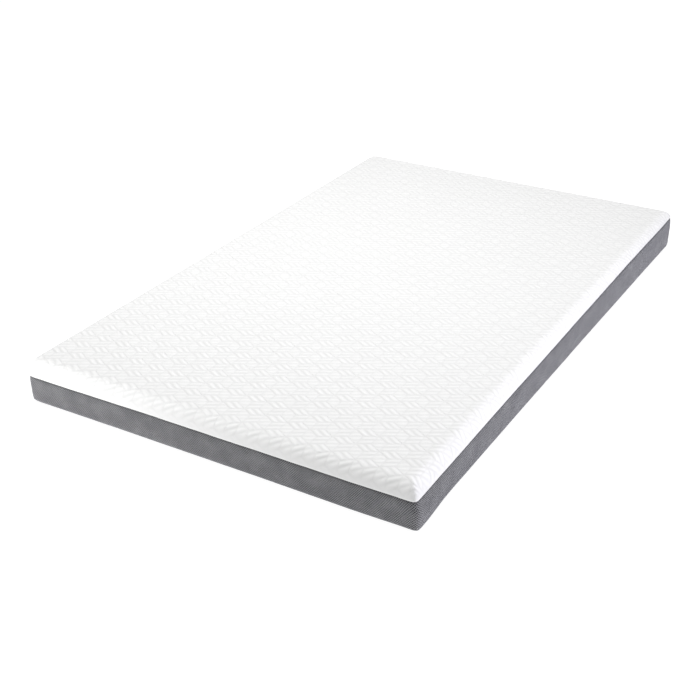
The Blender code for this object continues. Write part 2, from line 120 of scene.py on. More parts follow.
class Recipe:
    """A material that is being put together node by node."""

    def __init__(self, name: str) -> None:
        """Start a material.

        Args:
            name: The material's name.
        """
        self.material = bpy.data.materials.new(name)
        self.material.use_nodes = True
        self.tree = self.material.node_tree
        self.shader = self.tree.nodes["Principled BSDF"]

    def node(self, kind: str, settings: dict[str, Any], inputs: dict[Any, Any]) -> bpy.types.Node:
        """Add a node.

        Args:
            kind: The node's type.
            settings: Its own settings, which are set first.
            inputs: Values or links for its sockets, by name or number.

        Returns:
            The node.
        """
        made = self.tree.nodes.new(kind)
        for name, value in settings.items():
            setattr(made, name, value)
        for key, value in inputs.items():
            self.feed(made.inputs[key], value)
        return made

    def feed(self, socket: bpy.types.NodeSocket, value: Any) -> None:
        """Link a level or socket to a socket, or set its value.

        Args:
            socket: The socket to feed.
            value: A Level, a socket or a constant.
        """
        if isinstance(value, Level):
            value = value.socket
        if isinstance(value, bpy.types.NodeSocket):
            self.tree.links.new(value, socket)
        else:
            socket.default_value = value

    def math(self, operation: str, *values: Number) -> Level:
        """Return the result of a Math node."""
        made = self.node("ShaderNodeMath", {"operation": operation}, dict(enumerate(values)))
        return Level(self, made.outputs[0])

    def sine(self, value: Number) -> Level:
        """Return the sine of an angle in radians."""
        return self.math("SINE", value)

    def nearest(self, value: Number) -> Level:
        """Return the nearest whole number."""
        return self.math("ROUND", value)

    def size(self, value: Number) -> Level:
        """Return the value without its sign."""
        return self.math("ABSOLUTE", value)

    def least(self, one: Number, other: Number) -> Level:
        """Return the smaller of two values."""
        return self.math("MINIMUM", one, other)

    def most(self, one: Number, other: Number) -> Level:
        """Return the larger of two values."""
        return self.math("MAXIMUM", one, other)

    def below(self, one: Number, other: Number) -> Level:
        """Return 1 where one value is below the other, and 0 elsewhere."""
        return self.math("LESS_THAN", one, other)

    def eased(self, value: Level, low: float, high: float) -> Level:
        """Return a smooth step.

        Args:
            value: The value to read.
            low: Where the step is 0.
            high: Where the step is 1.

        Returns:
            The step, from 0 to 1.
        """
        settings = {"interpolation_type": "SMOOTHSTEP"}
        made = self.node("ShaderNodeMapRange", settings, {0: value, 1: low, 2: high, 3: 0.0, 4: 1.0})
        return Level(self, made.outputs[0])

    def place(self, coordinates: Coordinates) -> bpy.types.NodeSocket:
        """Return the point on the piece, in metres.

        Args:
            coordinates: Where it is read.

        Returns:
            The point's socket.
        """
        if coordinates is Coordinates.CLOTH:
            return self.node("ShaderNodeUVMap", {"uv_map": "cloth"}, {}).outputs[0]
        return self.node("ShaderNodeTexCoord", {}, {}).outputs["Object"]

    def turned(self, point: bpy.types.NodeSocket, angle: float, scale: Point) -> bpy.types.NodeSocket:
        """Return the point turned about Z by an angle in degrees, and scaled."""
        inputs = {"Vector": point, "Rotation": (0.0, 0.0, math.radians(angle)), "Scale": scale}
        return self.node("ShaderNodeMapping", {}, inputs).outputs[0]

    def parts(self, point: bpy.types.NodeSocket) -> tuple[Level, Level, Level]:
        """Return a point's three numbers."""
        made = self.node("ShaderNodeSeparateXYZ", {}, {0: point})
        return tuple(Level(self, output) for output in made.outputs)

    def cloud(self, point: bpy.types.NodeSocket, grain: float, detail: float = 3.0) -> Level:
        """Return smooth noise from 0 to 1.

        Args:
            point: Where to read it.
            grain: The size of its lumps in metres.
            detail: How many finer octaves it has.

        Returns:
            The noise.
        """
        inputs = {"Vector": point, "Scale": 1.0 / grain, "Detail": detail}
        made = self.node("ShaderNodeTexNoise", {}, inputs)
        return Level(self, made.outputs[0])

    def cells(self, point: bpy.types.NodeSocket, grain: float) -> Level:
        """Return the distance to the nearest cell's middle, for foam of that cell size."""
        made = self.node("ShaderNodeTexVoronoi", {}, {"Vector": point, "Scale": 1.0 / grain})
        return Level(self, made.outputs[0])

    def blend(self, share: Number, start: Any, end: Any) -> bpy.types.NodeSocket:
        """Return a mix of two colours.

        Args:
            share: 0 for the first colour to 1 for the second.
            start: The first colour.
            end: The second colour.

        Returns:
            The mixed colour's socket.
        """
        colours = [(*c, 1.0) if isinstance(c, tuple) else c for c in (start, end)]
        inputs = {0: share, 6: colours[0], 7: colours[1]}
        made = self.node("ShaderNodeMix", {"data_type": "RGBA"}, inputs)
        return made.outputs[2]

    def bump(
        self, height: Level, distance: float, under: bpy.types.NodeSocket | None = None
    ) -> bpy.types.NodeSocket:
        """Return a normal for a raised surface.

        Args:
            height: The relief, from 0 to 1.
            distance: How far a relief of 1 stands proud, in metres.
            under: The normal of a finer relief that this one adds to.

        Returns:
            The normal's socket.
        """
        inputs = {"Height": height, "Distance": distance, "Strength": 1.0}
        if under is not None:
            inputs["Normal"] = under
        return self.node("ShaderNodeBump", {}, inputs).outputs[0]

    def finished(
        self, colour: Any, roughness: Any, normal: bpy.types.NodeSocket | None, **fixed: Any
    ) -> bpy.types.Material:
        """Set the shader's sockets.

        Args:
            colour: The base colour or its socket.
            roughness: The roughness or its level.
            normal: The surface's normal, or None for the mesh's own.
            fixed: Other sockets that are the same all over, with _ for a space in their names.

        Returns:
            The material.
        """
        base = (*colour, 1.0) if isinstance(colour, tuple) else colour
        self.feed(self.shader.inputs["Base Color"], base)
        self.feed(self.shader.inputs["Roughness"], roughness)
        if normal is not None:
            self.feed(self.shader.inputs["Normal"], normal)
        for name, value in fixed.items():
            self.shader.inputs[name.replace("_", " ")].default_value = value
        return self.material


class ArrayMaths:
    """The same words as Recipe's, for numpy arrays."""

    nearest = staticmethod(np.round)
    least = staticmethod(np.minimum)
    most = staticmethod(np.maximum)
    sine = staticmethod(np.sin)
    size = staticmethod(np.abs)

    @staticmethod
    def below(one: Row, other: Row) -> Row:
        """Return 1 where one value is below the other, and 0 elsewhere."""
        return (one < other).astype(float)


# ---------------------------------------------------------------- finishes


@dataclass(frozen=True)
class BasketPattern:
    """The knitted-in pattern: hexagons of three rhombuses, filled with soft bars in two directions.

    The pitch is the distance between hexagons. The end fall is the length over which a bar sinks
    at its ends, down to the floor. The filling is the share of the
    channels' depth that the right-hand rhombus has.
    """

    pitch: float = 0.065
    bars: int = 2
    end_fall: float = 0.0080
    filling: float = 0.75
    shoulder: float = 0.6
    floor: float = 0.25

    def height(self, x: Any, y: Any, maths: Any) -> Any:
        """Return the relief at a point, from 0 in the channels to 1 on the bars.

        Args:
            x: Distance across the mattress in metres.
            y: Distance along it.
            maths: A Recipe or ArrayMaths.

        Returns:
            The relief, as a Level or an array.
        """
        row = self.pitch * ROOT_3
        one = (x - self.pitch * maths.nearest(x / self.pitch), y - row * maths.nearest(y / row))
        far_x, far_y = x - self.pitch / 2, y - row / 2
        two = (
            far_x - self.pitch * maths.nearest(far_x / self.pitch),
            far_y - row * maths.nearest(far_y / row),
        )
        first = maths.below(one[0] * one[0] + one[1] * one[1], two[0] * two[0] + two[1] * two[1])
        px = two[0] + (one[0] - two[0]) * first
        py = two[1] + (one[1] - two[1]) * first
        side = self.pitch / ROOT_3
        up = py / side
        left = (px * (-ROOT_3 / 2) - py * 0.5) / side
        right = (px * (ROOT_3 / 2) - py * 0.5) / side
        in_right = maths.below(left, up) * maths.below(left, right)
        in_lower = maths.below(up, left) * maths.below(up, right)
        in_left = 1.0 - in_right - in_lower
        across = (up - right) * in_left + (left - up) * in_lower + (right - left) * in_right
        along = (left - right) * in_left + (right - up) * in_lower + (up - left) * in_right
        across, along = across * (2 / 3), along * (2 / 3)
        level = (across - along) * in_right + across * (1.0 - in_right)
        bar = maths.size(maths.sine(level * (math.pi * self.bars)))
        bar = bar * bar * (1.0 + self.shoulder - bar * self.shoulder)
        ends = self.inside(along, maths)
        ends = ends * (1.0 - in_right + self.inside(across, maths) * in_right)
        relief = bar * (self.floor + ends * (2.0 - ends) * (1.0 - self.floor))
        return 1.0 - (1.0 - relief) * (1.0 - in_right * (1.0 - self.filling))

    def inside(self, share: Any, maths: Any) -> Any:
        """Return a fall to 0 at both ends of a rhombus's side.

        Args:
            share: The place along the side, from 0 to 1.
            maths: A Recipe or ArrayMaths.

        Returns:
            1 in the middle and 0 at the ends.
        """
        fall = self.pitch / ROOT_3 / self.end_fall
        start = maths.most(maths.least(share * fall, 1.0), 0.0)
        end = maths.most(maths.least((1.0 - share) * fall, 1.0), 0.0)
        return start * end


@dataclass(frozen=True)
class KnitFinish:
    """White double-knit of the top panel, with its basket pattern.

    The pattern fades between two heights, because the cloth is drawn tight over the edge. Its channels
    are painted darker, as painted shade in the recesses.
    """

    colour: Colour = (0.82, 0.82, 0.815)
    # painted shade: the darker colour given to the pattern's channels, standing in for shade in the
    # recesses
    channel_shade: Colour = (0.720, 0.720, 0.717)
    stitch: float = 0.0016
    stitch_rise: float = 0.0002
    relief: float = 0.0012
    fade: tuple[float, float] = (0.090, 0.120)
    faded: float = 0.15
    uneven_grain: float = 0.05
    fuzz_grain: float = 0.002
    patch_grain: float = 0.25
    pattern: BasketPattern = BasketPattern()

    def material(self) -> bpy.types.Material:
        """Make the knit's material.

        Returns:
            The material.
        """
        recipe = Recipe("white_knit")
        point = recipe.place(Coordinates.CLOTH)
        x, y, _ = recipe.parts(point)
        _, _, level = recipe.parts(recipe.place(Coordinates.OBJECT))
        uneven = recipe.cloud(point, self.uneven_grain, 2.0)
        spread = self.faded + recipe.eased(level, *self.fade) * (1.0 - self.faded)
        strength = spread * (0.45 + uneven * 1.1)
        bars = self.pattern.height(x, y, recipe) * strength
        wale = recipe.size(recipe.sine(x * (math.pi / self.stitch)))
        course = recipe.size(recipe.sine(y * (math.pi / (self.stitch * 1.3)) + wale * 0.8))
        stitches = wale * 0.5 + course * 0.5
        fuzz = recipe.cloud(point, self.fuzz_grain, 4.0)
        patches = recipe.cloud(point, self.patch_grain, 2.0)
        # painted shade: the colour darkens where the bars and stitches sink, as shade in their recesses
        # would; the patches are random tone
        share = recipe.least(bars * 0.75 + stitches * 0.15 + patches * 0.2, 1.0)
        colour = recipe.blend(share, self.channel_shade, self.colour)
        fine = recipe.bump(stitches * 0.8 + fuzz * 0.4, self.stitch_rise)
        normal = recipe.bump(bars, self.relief, fine)
        sheen = {"Sheen_Weight": 0.06, "Sheen_Roughness": 0.6}
        return recipe.finished(colour, 0.92 - bars * 0.06, normal, **sheen)


@dataclass(frozen=True)
class MeshFinish:
    """Grey spacer mesh of the border: small diamond cells between raised yarns.

    A painted shadow darkens the cloth between two distances from its upper edge, where the knit's lip
    overhangs the seam.
    """

    yarn: Colour = (0.290, 0.290, 0.293)
    hollow: Colour = (0.014, 0.014, 0.016)
    # painted shadow: where the darkening below the seam starts and ends
    seam_shadow_span: tuple[float, float] = (0.001, 0.008)
    cell: float = 0.0056
    cell_slope: float = 0.8
    hole: tuple[float, float] = (0.26, 0.66)
    filament: float = 0.0011
    rise: float = 0.0020
    drift_grain: float = 0.05
    fibre_grain: float = 0.0012
    blotch_grain: float = 0.045
    sheen_tint: tuple[float, float, float, float] = (0.88, 0.88, 1.0, 1.0)

    def material(self) -> bpy.types.Material:
        """Make the mesh cloth's material.

        Returns:
            The material.
        """
        recipe = Recipe("grey_spacer_mesh")
        point = recipe.place(Coordinates.CLOTH)
        x, y, _ = recipe.parts(point)
        drift = recipe.cloud(point, self.drift_grain, 2.0) * 0.9
        turn = math.pi / self.cell
        rising = recipe.size(recipe.sine((x + y * self.cell_slope) * turn + drift))
        falling = recipe.size(recipe.sine((x - y * self.cell_slope) * turn + drift))
        dip = rising * falling
        holes = recipe.eased(dip, *self.hole)
        yarns = 1.0 - holes
        twist = recipe.size(recipe.sine((x * 0.35 + y) * (math.pi / self.filament)))
        fibres = recipe.cloud(point, self.fibre_grain, 4.0)
        blotches = recipe.cloud(point, self.blotch_grain, 4.0)
        # painted shadow: the cloth darkens just below the seam, standing in for the shade under the
        # knit's lip
        seam = recipe.eased(y, *self.seam_shadow_span) * 0.45 + 0.55
        share = (yarns * (0.62 + twist * 0.26) + fibres * 0.22 + blotches * 0.8 - 0.50) * seam
        colour = recipe.blend(recipe.most(recipe.least(share, 1.0), 0.0), self.hollow, self.yarn)
        normal = recipe.bump((1.0 - dip) * 0.75 + yarns * twist * 0.15 + fibres * 0.1, self.rise)
        sheen = {"Sheen_Weight": 0.5, "Sheen_Roughness": 0.45, "Sheen_Tint": self.sheen_tint}
        return recipe.finished(colour, 0.78 + holes * 0.15, normal, **sheen)


@dataclass(frozen=True)
class WovenFinish:
    """Plain or twill woven cloth: lining, tapes, webbing and the label."""

    name: str
    light: Colour
    dark: Colour
    thread: float = 0.0009
    rise: float = 0.00018
    roughness: float = 0.85
    coordinates: Coordinates = Coordinates.OBJECT
    lean: float = 0.6
    fibre_grain: float = 0.0008
    patch_grain: float = 0.03

    def material(self) -> bpy.types.Material:
        """Make the woven cloth's material.

        Returns:
            The material.
        """
        recipe = Recipe(self.name)
        point = recipe.place(self.coordinates)
        x, y, z = recipe.parts(point)
        height = y + z if self.coordinates is Coordinates.OBJECT else y
        turn = math.pi / self.thread
        warp = recipe.size(recipe.sine(x * turn))
        weft = recipe.size(recipe.sine(height * turn + x * (turn * self.lean)))
        weave = warp * 0.45 + weft * 0.55
        fibres = recipe.cloud(point, self.fibre_grain, 3.0)
        patches = recipe.cloud(point, self.patch_grain, 2.0)
        share = recipe.least(weave * 0.7 + fibres * 0.2 + patches * 0.25, 1.0)
        normal = recipe.bump(weave + fibres * 0.2, self.rise)
        colour = recipe.blend(share, self.dark, self.light)
        return recipe.finished(colour, self.roughness - weave * 0.08, normal)


@dataclass(frozen=True)
class NonSlipFinish:
    """Dark base cloth with rows of small rubbery dots."""

    cloth: Colour = (0.10, 0.10, 0.108)
    dot: Colour = (0.26, 0.26, 0.27)
    pitch: float = 0.012
    dot_size: float = 0.0021
    thread: float = 0.0011
    fibre_grain: float = 0.001
    rise: float = 0.0005

    def material(self) -> bpy.types.Material:
        """Make the base cloth's material.

        Returns:
            The material.
        """
        recipe = Recipe("non_slip_cloth")
        point = recipe.place(Coordinates.OBJECT)
        x, y, _ = recipe.parts(point)
        row = self.pitch * ROOT_3
        heads = []
        for shift in (0.0, 0.5):
            px, py = x - self.pitch * shift, y - row * shift
            px = px - self.pitch * recipe.nearest(px / self.pitch)
            py = py - row * recipe.nearest(py / row)
            heads.append(recipe.math("SQRT", px * px + py * py))
        away = recipe.least(heads[0], heads[1])
        dots = 1.0 - recipe.eased(away, self.dot_size * 0.75, self.dot_size)
        turn = math.pi / self.thread
        warp, weft = recipe.size(recipe.sine(x * turn)), recipe.size(recipe.sine((y + x * 0.5) * turn))
        weave = warp * 0.5 + weft * 0.5
        fibres = recipe.cloud(point, self.fibre_grain, 3.0)
        shaded = tuple(c * 0.6 for c in self.cloth)
        cloth = recipe.blend(weave * 0.6 + fibres * 0.4, shaded, self.cloth)
        normal = recipe.bump(dots + weave * 0.2 * (1.0 - dots), self.rise)
        colour = recipe.blend(dots, cloth, self.dot)
        return recipe.finished(colour, 0.9 - dots * 0.45, normal)


@dataclass(frozen=True)
class FoamFinish:
    """Cut foam: open cells, slight mottling and the faint steps of the saw."""

    name: str
    light: Colour
    dark: Colour
    cell: float = 0.0016
    saw_step: float = 0.004
    saw_drift: float = 0.05
    mottle_grain: float = 0.04
    rise: float = 0.0006

    def material(self) -> bpy.types.Material:
        """Make the foam's material.

        Returns:
            The material.
        """
        recipe = Recipe(self.name)
        point = recipe.place(Coordinates.OBJECT)
        _, _, z = recipe.parts(point)
        pores = recipe.cells(point, self.cell)
        coarse = recipe.cells(point, self.cell * 2.7)
        wander = recipe.cloud(point, self.saw_drift, 1.0) * 2.0
        saw = recipe.size(recipe.sine(z * (math.pi / self.saw_step) + wander))
        mottle = recipe.cloud(point, self.mottle_grain, 4.0)
        share = recipe.least(pores * 0.6 + coarse * 0.25 + mottle * 0.4, 1.0)
        normal = recipe.bump(pores * 0.7 + coarse * 0.3 + saw * 0.1, self.rise)
        return recipe.finished(recipe.blend(share, self.dark, self.light), 0.95 - pores * 0.1, normal)


@dataclass(frozen=True)
class FibreFinish:
    """Soft fibres without a weave, or a fine rib: wadding and the inner sleeve."""

    name: str
    light: Colour
    dark: Colour
    rib: float = 0.0
    strand: float = 0.006
    cross_strand: float = 0.007
    rise: float = 0.0005

    def material(self) -> bpy.types.Material:
        """Make the fibres' material.

        Returns:
            The material.
        """
        recipe = Recipe(self.name)
        point = recipe.place(Coordinates.OBJECT)
        strands = recipe.cloud(recipe.turned(point, 35.0, (1.0, 6.0, 6.0)), self.strand, 5.0)
        crossing = recipe.cloud(recipe.turned(point, -50.0, (1.0, 5.0, 5.0)), self.cross_strand, 5.0)
        body = strands * 0.5 + crossing * 0.5
        if self.rib:
            x, y, _ = recipe.parts(point)
            ribs = recipe.size(recipe.sine((x + y * 0.02) * (math.pi / self.rib)))
            body = ribs * 0.7 + body * 0.3
        normal = recipe.bump(body, self.rise)
        colour = recipe.blend(body, self.dark, self.light)
        return recipe.finished(colour, 0.96 - body * 0.06, normal, Sheen_Weight=0.2)


@dataclass(frozen=True)
class NylonFinish:
    """Extruded nylon of the zip's coils."""

    colour: Colour = (0.12, 0.12, 0.13)
    wear_grain: float = 0.006
    grain: float = 0.0006
    rise: float = 0.00003

    def material(self) -> bpy.types.Material:
        """Make the nylon's material.

        Returns:
            The material.
        """
        recipe = Recipe("zip_nylon")
        point = recipe.place(Coordinates.OBJECT)
        wear = recipe.cloud(point, self.wear_grain, 4.0)
        lighter = tuple(c * 1.5 for c in self.colour)
        normal = recipe.bump(recipe.cloud(point, self.grain, 2.0), self.rise)
        colour = recipe.blend(wear, self.colour, lighter)
        return recipe.finished(colour, 0.3 + wear * 0.2, normal, Coat_Weight=0.1)


@dataclass(frozen=True)
class ZincFinish:
    """Die-cast and tumbled zinc of the slider, the pull tab and the stops."""

    colour: Colour = (0.20, 0.20, 0.21)
    worn: Colour = (0.34, 0.34, 0.35)
    tumble_grain: float = 0.0012
    rub_grain: float = 0.005
    scratch_grain: float = 0.004
    rise: float = 0.00006

    def material(self) -> bpy.types.Material:
        """Make the metal's material.

        Returns:
            The material.
        """
        recipe = Recipe("tumbled_zinc")
        point = recipe.place(Coordinates.OBJECT)
        tumble = recipe.cloud(point, self.tumble_grain, 4.0)
        rubbed = recipe.eased(recipe.cloud(point, self.rub_grain, 3.0), 0.48, 0.68)
        scratches = recipe.cloud(recipe.turned(point, 20.0, (1.0, 14.0, 14.0)), self.scratch_grain, 3.0)
        normal = recipe.bump(tumble * 0.6 + scratches * 0.4, self.rise)
        colour = recipe.blend(rubbed * 0.35 + tumble * 0.15, self.colour, self.worn)
        return recipe.finished(colour, 0.30 + tumble * 0.12 - rubbed * 0.04, normal, Metallic=1.0)


# ---------------------------------------------------------------- mesh tools


def clear_selection() -> None:
    """Leave object mode with nothing selected."""
    if bpy.context.object is not None and bpy.context.object.mode != "OBJECT":
        leave_edit()
    bpy.ops.object.select_all(action="DESELECT")


def leave_edit() -> None:
    """Go back to object mode."""
    bpy.ops.object.mode_set(mode="OBJECT")


def pick(obj: bpy.types.Object) -> None:
    """Select one object and make it active.

    Args:
        obj: The object.
    """
    clear_selection()
    obj.select_set(True)
    bpy.context.view_layer.objects.active = obj


def named(name: str) -> bpy.types.Object:
    """Name the object just added, and put its place and size in its mesh.

    Args:
        name: The piece's name.

    Returns:
        The piece.
    """
    obj = bpy.context.object
    obj.name = name
    obj.data.name = name
    bpy.ops.object.transform_apply(location=True, rotation=True, scale=True)
    return obj


def add_block(name: str, low: Row, high: Row) -> bpy.types.Object:
    """Add a block.

    Args:
        name: The piece's name.
        low: Its lowest corner.
        high: Its highest corner.

    Returns:
        The block.
    """
    clear_selection()
    low, high = np.array(low, float), np.array(high, float)
    bpy.ops.mesh.primitive_cube_add(size=1.0, location=tuple((low + high) / 2), scale=tuple(high - low))
    return named(name)


def add_cloth(name: str, across: int, along: int) -> bpy.types.Object:
    """Add a flat cut of cloth, from -0.5 to 0.5 each way.

    Args:
        name: The piece's name.
        across: The number of its cells along X.
        along: The number of its cells along Y.

    Returns:
        The cloth.
    """
    clear_selection()
    bpy.ops.mesh.primitive_grid_add(x_subdivisions=across, y_subdivisions=along, size=1.0)
    return named(name)


def points_of(obj: bpy.types.Object) -> Row:
    """Read a mesh's points.

    Args:
        obj: The piece.

    Returns:
        Rows of three numbers.
    """
    rows = np.empty(len(obj.data.vertices) * 3)
    obj.data.vertices.foreach_get("co", rows)
    return rows.reshape(-1, 3)


def move_points(obj: bpy.types.Object, rows: Row) -> None:
    """Move a mesh's points."""
    obj.data.vertices.foreach_set("co", np.ascontiguousarray(rows, dtype=np.float32).ravel())
    obj.data.update()


def point_of_corners(obj: bpy.types.Object) -> Row:
    """Return the number of the point at each corner of a mesh's faces.

    Args:
        obj: The piece.

    Returns:
        One number for each corner.
    """
    corners = np.empty(len(obj.data.loops), int)
    obj.data.loops.foreach_get("vertex_index", corners)
    return corners


def read_cloth_map(obj: bpy.types.Object) -> Row:
    """Read each point's place on the flat cloth back from the mesh's UV map.

    Args:
        obj: The piece.

    Returns:
        Two numbers in metres for each point.
    """
    layer = obj.data.uv_layers["cloth"].data
    flat = np.empty(len(layer) * 2)
    layer.foreach_get("uv", flat)
    cloth = np.empty((len(obj.data.vertices), 2))
    cloth[point_of_corners(obj)] = flat.reshape(-1, 2)
    return cloth


def write_cloth_map(obj: bpy.types.Object, flat: Row) -> None:
    """Store each point's place on the flat cloth as the mesh's UV map.

    Args:
        obj: The piece.
        flat: Two numbers in metres for each of its points.
    """
    layers = obj.data.uv_layers
    layer = layers[0] if layers else layers.new()
    layer.name = "cloth"
    layer.data.foreach_set("uv", flat[point_of_corners(obj)].astype(np.float32).ravel())


def apply_modifier(obj: bpy.types.Object, kind: str, **settings: Any) -> None:
    """Add a modifier with its settings and apply it.

    Args:
        obj: The piece.
        kind: The modifier's type.
        settings: Its settings by name.
    """
    pick(obj)
    modifier = obj.modifiers.new(kind.lower(), kind)
    for name, value in settings.items():
        setattr(modifier, name, value)
    bpy.ops.object.modifier_apply(modifier=modifier.name)


def thicken(obj: bpy.types.Object, thickness: float, edge: float = 0.0, even: bool = True) -> None:
    """Give a cloth its thickness, inwards, and round its cut edges.

    Args:
        obj: The piece.
        thickness: The cloth's thickness.
        edge: The radius of its edges, or 0 to leave them square.
        even: Whether the thickness is kept at folds.
    """
    apply_modifier(obj, "SOLIDIFY", thickness=thickness, offset=-1.0, use_even_offset=even)
    if edge:
        round_folds(obj, edge, 55.0)


def round_folds(obj: bpy.types.Object, radius: float, angle: float = 30.0) -> None:
    """Round every edge that is sharper than an angle in degrees."""
    limits = {"limit_method": "ANGLE", "angle_limit": math.radians(angle)}
    apply_modifier(obj, "BEVEL", width=radius, segments=2, **limits)


def edit_all(obj: bpy.types.Object) -> None:
    """Enter edit mode with the whole piece selected.

    Args:
        obj: The piece.
    """
    pick(obj)
    bpy.ops.object.mode_set(mode="EDIT")
    bpy.ops.mesh.select_all(action="SELECT")


def drop_picked(obj: bpy.types.Object, kind: str) -> None:
    """Clear what is selected in a piece, in object mode.

    Args:
        obj: The piece.
        kind: What is selected next, EDGE or FACE.
    """
    pick(obj)
    bpy.ops.object.mode_set(mode="EDIT")
    bpy.ops.mesh.select_all(action="DESELECT")
    bpy.ops.mesh.select_mode(type=kind)
    leave_edit()


def select_edges(obj: bpy.types.Object, wanted: Callable[[Vector, Vector], bool]) -> None:
    """Enter edit mode with the wanted edges selected.

    Args:
        obj: The piece.
        wanted: Says of an edge's two ends whether to take it.
    """
    drop_picked(obj, "EDGE")
    points = [v.co for v in obj.data.vertices]
    for edge in obj.data.edges:
        edge.select = wanted(points[edge.vertices[0]], points[edge.vertices[1]])
    bpy.ops.object.mode_set(mode="EDIT")


def select_faces(obj: bpy.types.Object, wanted: Callable[[bpy.types.MeshPolygon], bool]) -> None:
    """Enter edit mode with the wanted faces selected.

    Args:
        obj: The piece.
        wanted: Says of a face whether to take it.
    """
    drop_picked(obj, "FACE")
    for face in obj.data.polygons:
        face.select = wanted(face)
    bpy.ops.object.mode_set(mode="EDIT")


def round_picked(radius: float, segments: int) -> None:
    """Round the selected edges, and leave edit mode."""
    bpy.ops.mesh.bevel(offset=radius, segments=segments, affect="EDGES", clamp_overlap=True)
    leave_edit()


def round_level(obj: bpy.types.Object, level: float, radius: float, segments: int) -> None:
    """Round the edges that lie at one height.

    Args:
        obj: The piece.
        level: The height.
        radius: The edges' radius.
        segments: The number of steps in the round.
    """
    select_edges(obj, lambda a, b: abs(a.z - level) < SAME and abs(b.z - level) < SAME)
    round_picked(radius, segments)


def extrude_picked(x: float, y: float, z: float) -> None:
    """Extrude the selected faces by a step."""
    bpy.ops.mesh.extrude_region_move(TRANSFORM_OT_translate={"value": (x, y, z)})


def inset_picked(*steps: tuple[float, float]) -> None:
    """Inset the selected faces, and leave edit mode.

    Args:
        steps: The thickness and depth of each inset.
    """
    for thickness, depth in steps:
        bpy.ops.mesh.inset(thickness=thickness, depth=depth)
    leave_edit()


def upright(one: Vector, other: Vector) -> bool:
    """Say whether an edge runs along Z."""
    return (one - other).xy.length < SAME


def soften(obj: bpy.types.Object, angle: float = 40.0) -> None:
    """Shade a piece smoothly but for its sharp edges."""
    pick(obj)
    bpy.ops.object.shade_smooth_by_angle(angle=math.radians(angle))


def large_and_level(face: bpy.types.MeshPolygon) -> bool:
    """Say whether a face is level and over a square metre in size."""
    return abs(face.normal.z) > 0.9 and face.area > 1.0


def hand_over(obj: bpy.types.Object, material: bpy.types.Material, slot: str, *nodes: str) -> None:
    """Dress a finished piece and tie it to the frame.

    Args:
        obj: The piece.
        material: Its material.
        slot: A material slot's name; not used.
        nodes: The CAD nodes that it stands for.
    """
    obj.data.materials.clear()
    obj.data.materials.append(material)
    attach(obj, MATTRESS)
    if nodes:
        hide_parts(*nodes)
    log.info("%s: %d faces on %s", obj.name, len(obj.data.polygons), MATTRESS)


def dress_node(node: str, material: bpy.types.Material) -> None:
    """Give a CAD node that stays a finish of its own.

    Args:
        node: The CAD node.
        material: Its material.
    """
    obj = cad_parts[node]
    for place in obj.material_slots:
        place.material = material
    log.info("%s: CAD shape kept, %s", node, material.name)


def ripple(phase: Row, seed: float) -> Row:
    """Return a gentle uneven wave from about -1 to 1, along a length in metres."""
    waves = enumerate(((0.93, 0.0), (2.3, 1.7), (5.1, 0.4), (11.7, 2.9)), start=1)
    return sum(np.sin(2 * math.pi * f * phase + seed * k + p) / k for k, (f, p) in waves) / 1.6


# ---------------------------------------------------------------- the cover


@dataclass(frozen=True)
class Lay:
    """How a strip of cloth lies on the side.

    The tuck is how far its upper edge is drawn in, over the tuck's reach.
    """

    depth: float
    wrinkle: float = 0.0
    tuck: float = 0.0
    tuck_reach: float = 0.007

    def depth_at(self, lap: Row, run: Row, upper: Row, lower: Row) -> Row:
        """Return the depth of the strip's outer face.

        Args:
            lap: The places round the mattress.
            run: The places down the side.
            upper: The runs of the strip's upper edge.
            lower: The runs of its lower edge.

        Returns:
            The depths.
        """
        share = (run - upper) / (lower - upper)
        waves = ripple(lap * 2.1 + share * 0.35, 0.7)
        uneven = self.wrinkle * waves * np.sin(math.pi * np.clip(share, 0, 1))
        return self.depth - uneven + self.tuck * np.exp(-(run - upper) / self.tuck_reach)


